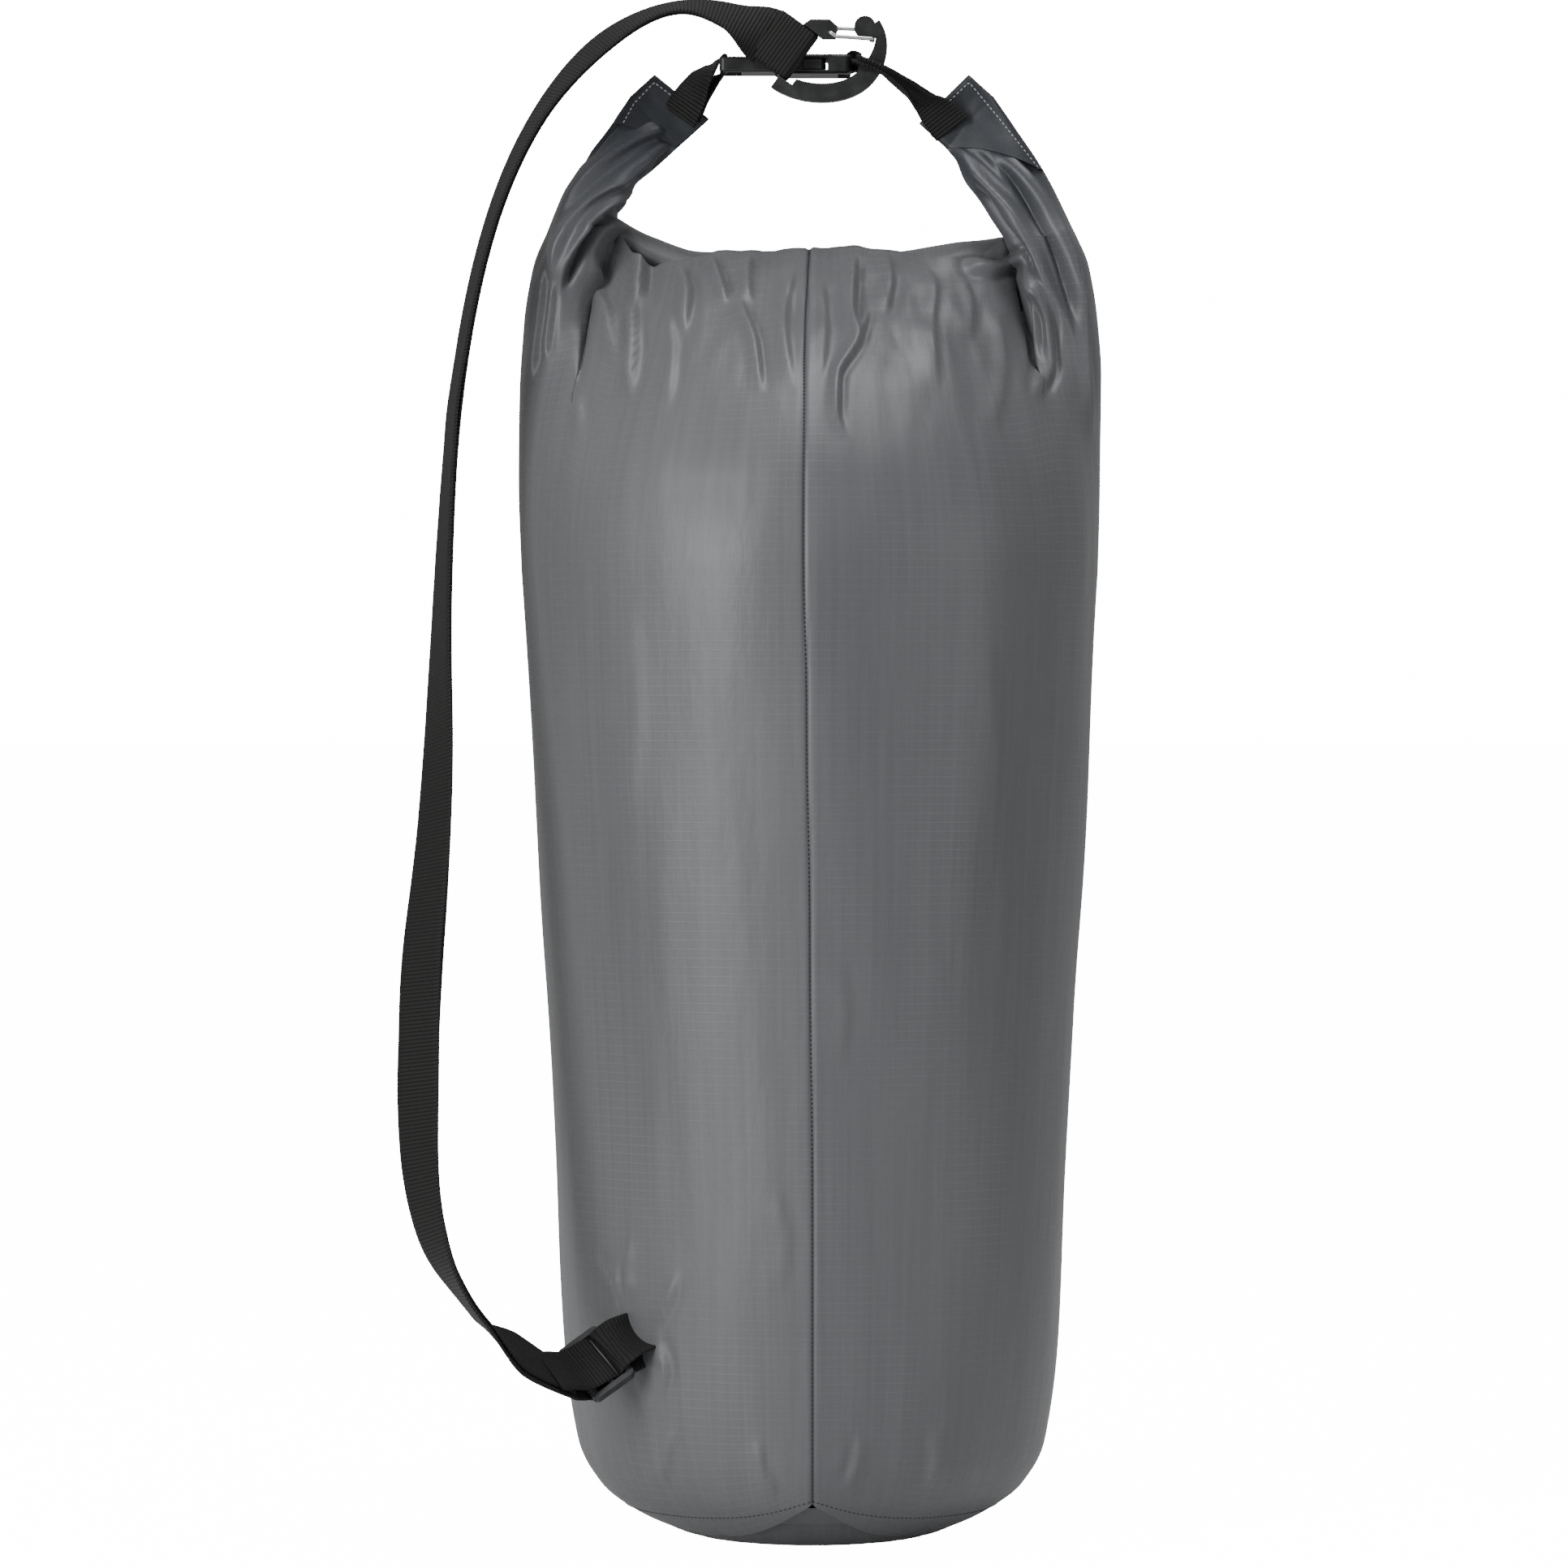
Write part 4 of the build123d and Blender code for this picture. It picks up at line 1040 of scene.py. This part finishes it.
def make_thread(name, line, size, material, node):
    """Stitches along a line of points and normals in millimetres, in place of a node."""
    pitch, length, radius = size
    places = np.array([place for place, _ in line])
    normals = np.array([normal for _, normal in line])
    run = run_along(places)
    verts = []
    faces = []
    for at in np.arange(pitch / 2, run[-1], pitch):
        stops = (at - length / 2, at + length / 2)
        ends = [np.array([np.interp(stop, run, places[:, k]) for k in range(3)]) for stop in stops]
        if np.linalg.norm(ends[1] - ends[0]) < 1e-6:
            continue
        out = np.array([np.interp(at, run, normals[:, k]) for k in range(3)])
        first = len(verts)
        last = first + (len(STITCH_RINGS) - 1) * STITCH_SIDES
        verts += stitch(ends, out, length, radius)
        faces += grid_faces(len(STITCH_RINGS), STITCH_SIDES, first, closed=True)
        faces.append(tuple(first + k for k in range(STITCH_SIDES - 1, -1, -1)))
        faces.append(tuple(last + k for k in range(STITCH_SIDES)))
    thread = make_object(name, verts, faces, None, material)
    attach(thread, "bag")
    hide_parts(node)


def met_points(hits):
    """Place and normal of each ray's hit; the normal is turned to the side that the ray came from."""
    line = []
    for hit, normal, out in hits:
        if hit is None:
            continue
        if normal.dot(out) < 0:
            normal = -normal
        line.append((np.array(hit) / MM, np.array(normal)))
    return line


def front_line(tree, path, step=1.0):
    """Points and normals of a line laid on the surface, given as it looks from the front."""
    path = np.asarray(path, float)
    shares = np.linspace(0, 1, int(run_along(path)[-1] / step) + 2)
    to_front = Vector((0, -1, 0))
    rays = [seen_from_front(tree, float(x), float(z)) for x, z in along_path(path, shares)]
    return met_points([(hit, normal, to_front) for hit, normal in rays])


def make_long_seam(tree):
    line = front_line(tree, [(x, z) for z, x in LONG_SEAM])
    make_thread("long_seam_thread", line, LONG_STITCH, seam_thread, "back_seam_stitching")


def make_base_seam(tree):
    hits = []
    for i in range(SEAM_STEPS + 1):
        turn = 2 * math.pi * i / SEAM_STEPS
        height = SEAM_Z + SEAM_LINE_RISE
        if math.sin(turn) < 0:
            c = (turn - 1.5 * math.pi) / (math.pi / 2)
            height += 0.55 * float(seam_lift(np.array([c]))[0])
        axis = Vector((0, 0, height)) * MM
        out = Vector((math.cos(turn), math.sin(turn), 0))
        hit, normal, _, _ = tree.ray_cast(axis + out * 0.3, -out)
        hits.append((hit, normal, out))
    line = met_points(hits)
    make_thread("base_seam_thread", line, BASE_STITCH, seam_thread, "base_seam_stitching")


# ---- hem ends
EAR_LEAN = math.radians(48.0)
EAR_TIP = (72.0, 644.5)
HEM_LENGTH = 15.0
HEM_WIDTH = 32.0
HEM_ROWS = (22, 16)  # rows of points over the ear and beyond its tip
HEM_COLUMNS = 36
HEM_SLANT = {-1: 5.0, 1: 2.0}  # how much further the hem reaches at its inner edge
# where the flat hem begins at the ear's outer edge, as a share of the ear's length
HEM_START = {-1: 0.80, 1: 0.44}
STITCH_INSET = 2.6  # of the hem's stitches from its edges
# where those stitches run beside the ear before they turn along the hem's end: x, z
HEM_THREAD_START = {-1: [(-86.0, 644.0), (-81.0, 653.0)], 1: [(103.5, 623.5), (94.0, 635.5), (84.0, 648.0)]}


def hem_frame(side):
    """The ear's tip, and the directions out of it and across it."""
    lean = np.array([-side * math.sin(EAR_LEAN), 0.0, math.cos(EAR_LEAN)])
    outward = np.array([side * math.cos(EAR_LEAN), 0.0, math.sin(EAR_LEAN)])
    return np.array([side * EAR_TIP[0], 0.0, EAR_TIP[1]]), lean, outward


def hem_row(side, face, level):
    """One row of the hem, from the ear's inner to its outer edge, and its cloth coordinates."""
    tip, lean, outward = hem_frame(side)
    a = np.linspace(0, 1, HEM_COLUMNS)
    rim = np.minimum(1.0, np.minimum(a, 1 - a) * 14) ** 0.5
    e = np.arccos(np.clip(1 - 2 * a, -1, 1)) / math.pi
    c = side * (EAR_FROM + e * (1 - EAR_FROM))
    if level <= 1:
        start = 1.0 - (1.0 - HEM_START[side]) * a if face < 0 else 1.0 - 0.08 * a
        share = start + (1 - start) * level
        row = np.array([ear_point(side, c[k:k + 1], share[k], face < 0)[0] for k in range(HEM_COLUMNS)])
        plain = look_up(EAR_DEPTH, share) * np.sin(math.pi * e)
        row[:, 1] = face * (plain * 1.02 + 0.3 + 0.9 * rim)
        reach = (share - 1) * EAR_CLOTH
    else:
        past = (level - 1) * (HEM_LENGTH + HEM_SLANT[side] * (1 - a))
        row = tip + np.outer((2 * a - 1) * HEM_WIDTH / 2, outward) + np.outer(past, lean)
        end = min(1.0, (2 - level) * 8) ** 0.5
        settle = 1 - ease(past / 7.0)
        row[:, 1] = face * (0.2 + rim * end + settle * np.sin(math.pi * e))
        reach = past
    wave = np.array([noise.noise(Vector((x / 9, z / 9, side * 3.0))) for x, _, z in row])
    row[:, 1] += 0.45 * wave
    return row, np.stack([(a - 0.5) * HEM_WIDTH * MM, reach * MM], 1)


def make_hem(side, name, node):
    """Flat folded end of the mouth hem: it wraps the ear's tip and stands out beyond it."""
    levels = np.r_[np.linspace(0, 1, HEM_ROWS[0]), np.linspace(1, 2, HEM_ROWS[1])[1:]]
    verts = []
    uvs = []
    for face in (-1, 1):
        for level in levels:
            row, row_uvs = hem_row(side, face, level)
            verts.append(row)
            uvs.append(row_uvs)
    rows = len(levels)
    back = rows * HEM_COLUMNS
    faces = grid_faces(rows, HEM_COLUMNS)
    faces += [tuple(reversed(q)) for q in grid_faces(rows, HEM_COLUMNS, back)]
    rim_line = [j * HEM_COLUMNS + HEM_COLUMNS - 1 for j in range(rows)]
    rim_line += [back - HEM_COLUMNS + i for i in range(HEM_COLUMNS - 2, -1, -1)]
    rim_line += [j * HEM_COLUMNS for j in range(rows - 2, -1, -1)]
    for a, b in zip(rim_line, rim_line[1:]):
        faces.append((b, a, a + back, b + back))
    hem = make_object(name, np.vstack(verts), faces, np.vstack(uvs), trim_cloth)
    subdivide(hem)
    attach(hem, "bag")
    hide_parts(node)
    return hem


def make_hem_threads(tree, side, name, node):
    """Pale stitches just inside the hem's end and outer edge."""
    tip, lean, outward = hem_frame(side)
    half = HEM_WIDTH / 2 - STITCH_INSET
    reach = HEM_LENGTH - STITCH_INSET
    outer = tip + outward * half + lean * reach
    inner = tip - outward * half + lean * (reach + HEM_SLANT[side])
    path = HEM_THREAD_START[side] + [(outer[0], outer[2]), (inner[0], inner[2])]
    line = []
    for a, b in zip(path, path[1:]):
        line += front_line(tree, [a, b], 0.8)
    make_thread(name, line, HEM_STITCH, pale_thread, node)


# ---- tabs
def stations_band(stations, width, step):
    """A band through stations of centre, across direction, width and curl."""
    centres = np.array([s[0] for s in stations], float)
    run = run_along(centres)
    at = np.linspace(0, run[-1], int(run[-1] / step) + 1)
    places = np.stack([smooth(at, run, centres[:, k]) for k in range(3)], 1)
    edges = np.stack([smooth(at, run, np.array([s[1][k] for s in stations])) for k in range(3)], 1)
    widths = smooth(at, run, [s[2] for s in stations])
    curls = smooth(at, run, [s[3] for s in stations])
    return band(places, edges, width, WEBBING, curls, widths)


def make_webbing(name, stations, width, body, node, step=0.8):
    """One folded piece of webbing that rides a body, in place of a node."""
    piece = joined(name, [stations_band(stations, width, step)], webbing)
    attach(piece, body)
    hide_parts(node)


# stations along each tab, from the front of its ear round the buckle's bar to the back:
# place, direction across the webbing, width and curl
LEFT_TAB = [
    ((-60.2, -2.9, 646.6), (0.80, -0.35, -0.48), 18.5, 0.05),
    ((-55.0, -5.2, 655.0), (0.78, -0.45, -0.43), 17.5, 0.25),
    ((-49.0, -5.4, 664.0), (0.62, -0.72, -0.30), 15.0, 0.6),
    ((-44.5, -3.0, 669.8), (0.25, -0.95, -0.12), 14.5, 0.4),
    ((-40.5, -0.6, 673.1), (0.0, -1.0, 0.0), 17.0, 0.1),
    ((-37.2, 0.0, 670.4), (0.0, -1.0, 0.0), 17.0, 0.0),
    ((-39.8, 0.2, 667.2), (0.0, -1.0, 0.0), 17.0, 0.0),
    ((-45.0, -1.0, 664.4), (0.3, -0.93, -0.2), 15.0, 0.3),
    ((-51.5, -3.0, 657.6), (0.62, -0.70, -0.36), 15.0, 0.4),
    ((-57.5, -2.6, 648.2), (0.80, -0.40, -0.45), 17.0, 0.1),
]
# the right tab is gathered where it runs through the hook
RIGHT_TAB = [
    ((63.9, -3.0, 641.2), (0.90, -0.25, 0.35), 18.5, 0.05),
    ((58.5, -4.6, 647.6), (0.88, -0.32, 0.35), 18.0, 0.2),
    ((53.0, -6.6, 653.6), (0.80, -0.48, 0.36), 15.0, 0.6),
    ((46.5, -14.0, 658.8), (0.50, -0.62, 0.60), 10.0, 1.2),
    ((38.5, -24.5, 663.2), (0.25, -0.50, 0.80), 6.4, 1.8),
    ((31.5, -30.8, 667.0), (0.20, -0.50, 0.84), 5.4, 2.0),
    ((25.0, -31.2, 669.6), (0.20, -0.40, 0.89), 5.2, 2.0),
    ((20.9, -24.0, 671.0), (0.60, 0.0, 0.80), 5.2, 2.0),
    ((20.8, -12.0, 671.8), (0.85, 0.0, 0.50), 7.5, 1.5),
    ((19.4, -3.0, 672.4), (0.30, -0.90, 0.30), 10.5, 1.0),
    ((16.2, -0.4, 673.4), (0.0, -1.0, 0.0), 14.0, 0.3),
    ((13.0, 0.0, 670.2), (0.0, -1.0, 0.0), 14.0, 0.0),
    ((15.6, 0.0, 667.0), (0.0, -1.0, 0.0), 14.0, 0.1),
    ((20.6, -3.2, 668.4), (0.30, -0.90, 0.30), 10.0, 0.8),
    ((22.6, -12.5, 670.0), (0.60, -0.20, 0.70), 7.0, 1.4),
    ((22.6, -23.5, 668.6), (0.60, -0.10, 0.78), 5.2, 1.8),
    ((26.0, -29.4, 667.4), (0.30, -0.50, 0.80), 5.2, 1.8),
    ((32.6, -29.0, 664.8), (0.30, -0.50, 0.80), 5.4, 1.8),
    ((39.6, -22.2, 660.2), (0.30, -0.55, 0.78), 6.4, 1.6),
    ((47.2, -11.6, 655.8), (0.55, -0.60, 0.58), 10.0, 1.0),
    ((54.0, -4.2, 650.2), (0.80, -0.40, 0.42), 15.0, 0.5),
    ((61.4, -1.6, 643.0), (0.90, -0.25, 0.35), 18.0, 0.1),
]
HOOK_BAR = np.array([-7.1, -21.0, 673.8])
BAR_ACROSS = (-0.587, 0.0, -0.81)
TO_STRAP = np.array([-0.809, 0.0, 0.587])
TO_FRONT = np.array([0.0, -1.0, 0.0])
FOLD_LENGTH = 16.5
FOLD_RADIUS = 3.2
FOLD_STEP = 0.6


def make_upper_fold():
    """The strap's end, folded round the hook's bar."""
    far = HOOK_BAR + TO_STRAP * FOLD_LENGTH
    half = HOOK_BAR + TO_STRAP * FOLD_LENGTH * 0.5
    out = TO_FRONT * FOLD_RADIUS
    ring = [far + out * 0.5, half + out]
    for turn in np.linspace(-0.5, 0.5, 15) * math.pi:
        ring.append(HOOK_BAR - TO_STRAP * FOLD_RADIUS * math.cos(turn) - out * math.sin(turn))
    ring += [half - out, far - out * 0.5]
    stations = [(place, BAR_ACROSS, STRAP_WIDTH, 0.0) for place in ring]
    make_webbing("upper_fold_webbing", stations, STRAP_WIDTH, "bag", "strap_upper_fold", FOLD_STEP)


# ---- lower tab and the strap's foot
SLIDE_CENTRE = np.array([-96.0, -89.5, 86.8])
SLIDE_ALONG = np.array([0.805, 0.247, 0.543])
SLIDE_OUT = np.array([-0.151, -0.828, 0.542])
SLIDE_EDGE = (0.582, -0.517, -0.628)
# the strap's foot in the slide's own plane: along it and out of it, from the cut end of the tail
FOOT_LINE = [
    (-21.6, 20.2), (-15.0, 12.4), (-11.4, 7.4), (-6.6, 4.8), (-1.0, 3.7), (2.6, 2.5), (3.6, 0.2),
    (2.4, -2.2), (-3.0, -3.5), (-9.4, -3.7), (-13.2, -0.2), (-17.8, 5.6),
]
# the tab in the same plane, and how far it is cupped at each of those points
LOWER_TAB_LINE = [
    (27.0, -3.4), (22.5, -1.6), (16.0, 2.2), (10.8, 3.8), (7.4, 3.3), (5.6, 0.2), (7.6, -3.0),
    (13.0, -3.6), (20.0, -5.0), (26.0, -6.4),
]
LOWER_TAB_CURL = [-0.7, -0.75, -0.6, -0.25, -0.1, 0.0, 0.0, -0.2, -0.3, -0.3]


def in_slide_plane(line, curls):
    """Stations of a band of full width whose points are given in the slide's plane."""
    places = [SLIDE_CENTRE + SLIDE_ALONG * a + SLIDE_OUT * o for a, o in line]
    return [(place, SLIDE_EDGE, STRAP_WIDTH, curl) for place, curl in zip(places, curls)]


def make_foot():
    """The strap's sewn end, through the slide and back along the strap."""
    stations = in_slide_plane(FOOT_LINE, [0.0] * len(FOOT_LINE))
    make_webbing("strap_foot_webbing", stations, STRAP_WIDTH, "slide", "strap_lower_fold", FOLD_STEP)


def make_lower_tab():
    """Short tab sewn into the bag's wall, round the slide's other bar, a little cupped."""
    stations = in_slide_plane(LOWER_TAB_LINE, LOWER_TAB_CURL)
    make_webbing("lower_tab_webbing", stations, STRAP_WIDTH, "bag", "lower_tab", FOLD_STEP)


make_camera()
make_strap()
shell = make_shell()
roll = make_roll()
base = make_base()
hems = [make_hem(-1, "left_hem", "left_hem_end"), make_hem(1, "right_hem", "right_hem_end")]
cloth_tree = surface_of([shell, roll, base, *hems])
make_long_seam(cloth_tree)
make_base_seam(surface_of([shell]))
make_hem_threads(cloth_tree, -1, "left_hem_thread", "left_tab_stitching")
make_hem_threads(cloth_tree, 1, "right_hem_thread", "right_tab_stitching")
make_webbing("left_tab_webbing", LEFT_TAB, TAB_WIDTH, "bag", "left_tab")
make_webbing("right_tab_webbing", RIGHT_TAB, TAB_WIDTH, "bag", "right_tab")
make_upper_fold()
make_foot()
make_lower_tab()


# ---- carried-over nodes
NODE_FINISH = {
    "back_seam_tape": trim_cloth,
    "base_seam_binding": base_cloth,
    "lower_tab_patch": shell_cloth,
    "mouth_stiffener": slide_plastic,
    "lower_tab_bartack": pale_thread,
    "buckle_socket": hardware,
    "buckle_plug": hardware,
    "buckle_near_prong": hardware,
    "buckle_far_prong": hardware,
    "hook_body": hardware,
    "hook_gate": wire,
    "strap_slide": slide_plastic,
}
BEVEL_WIDTH = {
    "buckle_socket": 0.5,
    "buckle_plug": 0.5,
    "buckle_near_prong": 0.6,
    "buckle_far_prong": 0.6,
    "hook_body": 1.4,
    "strap_slide": 0.6,
}


def finish_nodes():
    """Give each node that stays its material and, where it is moulded, rounded edges."""
    for name, material in NODE_FINISH.items():
        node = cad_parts[name]
        node.data.materials.clear()
        node.data.materials.append(material)
        if name in BEVEL_WIDTH:
            bevel = node.modifiers.new("rounding", "BEVEL")
            bevel.width = BEVEL_WIDTH[name] * MM
            bevel.segments = 3
            bevel.limit_method = "ANGLE"
            bevel.angle_limit = math.radians(40)
            bevel.harden_normals = True


finish_nodes()


# ---- stage
BACKDROP_LIGHT = 16.0  # how bright the camera sees the white round the bag
WORLD_LIGHT = 0.29  # how bright the bag sees it
WHITE = (1.0, 1.0, 1.0, 1.0)
FLOOR_HALF = 30000.0
FLOOR_Z = -0.4
# soft lights in metres and watts: place, what it points at, size, power
LIGHTS = {
    "key": ((-1.75, -2.0, 1.0), (0.0, 0.0, 0.35), (0.7, 2.0), 56.0),
    "fill": ((2.2, -1.6, 0.8), (0.0, 0.0, 0.35), (1.2, 1.6), 9.0),
    "top": ((0.3, -0.4, 2.4), (0.0, 0.0, 0.5), (1.2, 1.2), 30.0),
}


def make_floor():
    material, tree, shader = new_material("floor", (0.90, 0.90, 0.90), 0.9, specular=0.1)
    soft = noise_node(tree, object_coordinates(tree), 3.0)
    grey = mix_colour(tree, soft, (0.89, 0.89, 0.89), (0.91, 0.91, 0.91))
    tree.links.new(grey, shader.inputs["Base Color"])
    seen = tree.nodes.new("ShaderNodeLightPath")
    shader.inputs["Emission Color"].default_value = WHITE
    glow = ramp(tree, seen.outputs["Is Camera Ray"], 0.0, 1.0, 0.0, BACKDROP_LIGHT - 1.0)
    tree.links.new(glow, shader.inputs["Emission Strength"])
    corners = [(x * FLOOR_HALF, y * FLOOR_HALF, FLOOR_Z) for x, y in ((-1, -1), (1, -1), (1, 1), (-1, 1))]
    floor = make_object("floor", corners, [(0, 1, 2, 3)], None, material)


def soft_light(name, place, target, size, power):
    data = bpy.data.lights.new(name, "AREA")
    data.shape = "RECTANGLE"
    data.size = size[0]
    data.size_y = size[1]
    data.energy = power
    light = bpy.data.objects.new(name, data)
    light.location = place
    light.rotation_euler = (Vector(target) - Vector(place)).to_track_quat("-Z", "Y").to_euler()
    bpy.context.scene.collection.objects.link(light)


def make_world():
    world = bpy.data.worlds.new("studio")
    world.use_nodes = True
    tree = world.node_tree
    background = tree.nodes["Background"]
    background.inputs["Color"].default_value = WHITE
    seen = tree.nodes.new("ShaderNodeLightPath")
    glow = ramp(tree, seen.outputs["Is Camera Ray"], 0.0, 1.0, WORLD_LIGHT, BACKDROP_LIGHT)
    tree.links.new(glow, background.inputs["Strength"])
    bpy.context.scene.world = world


make_floor()
make_world()
for light_name, (light_place, light_target, light_size, light_power) in LIGHTS.items():
    soft_light(light_name, light_place, light_target, light_size, light_power)
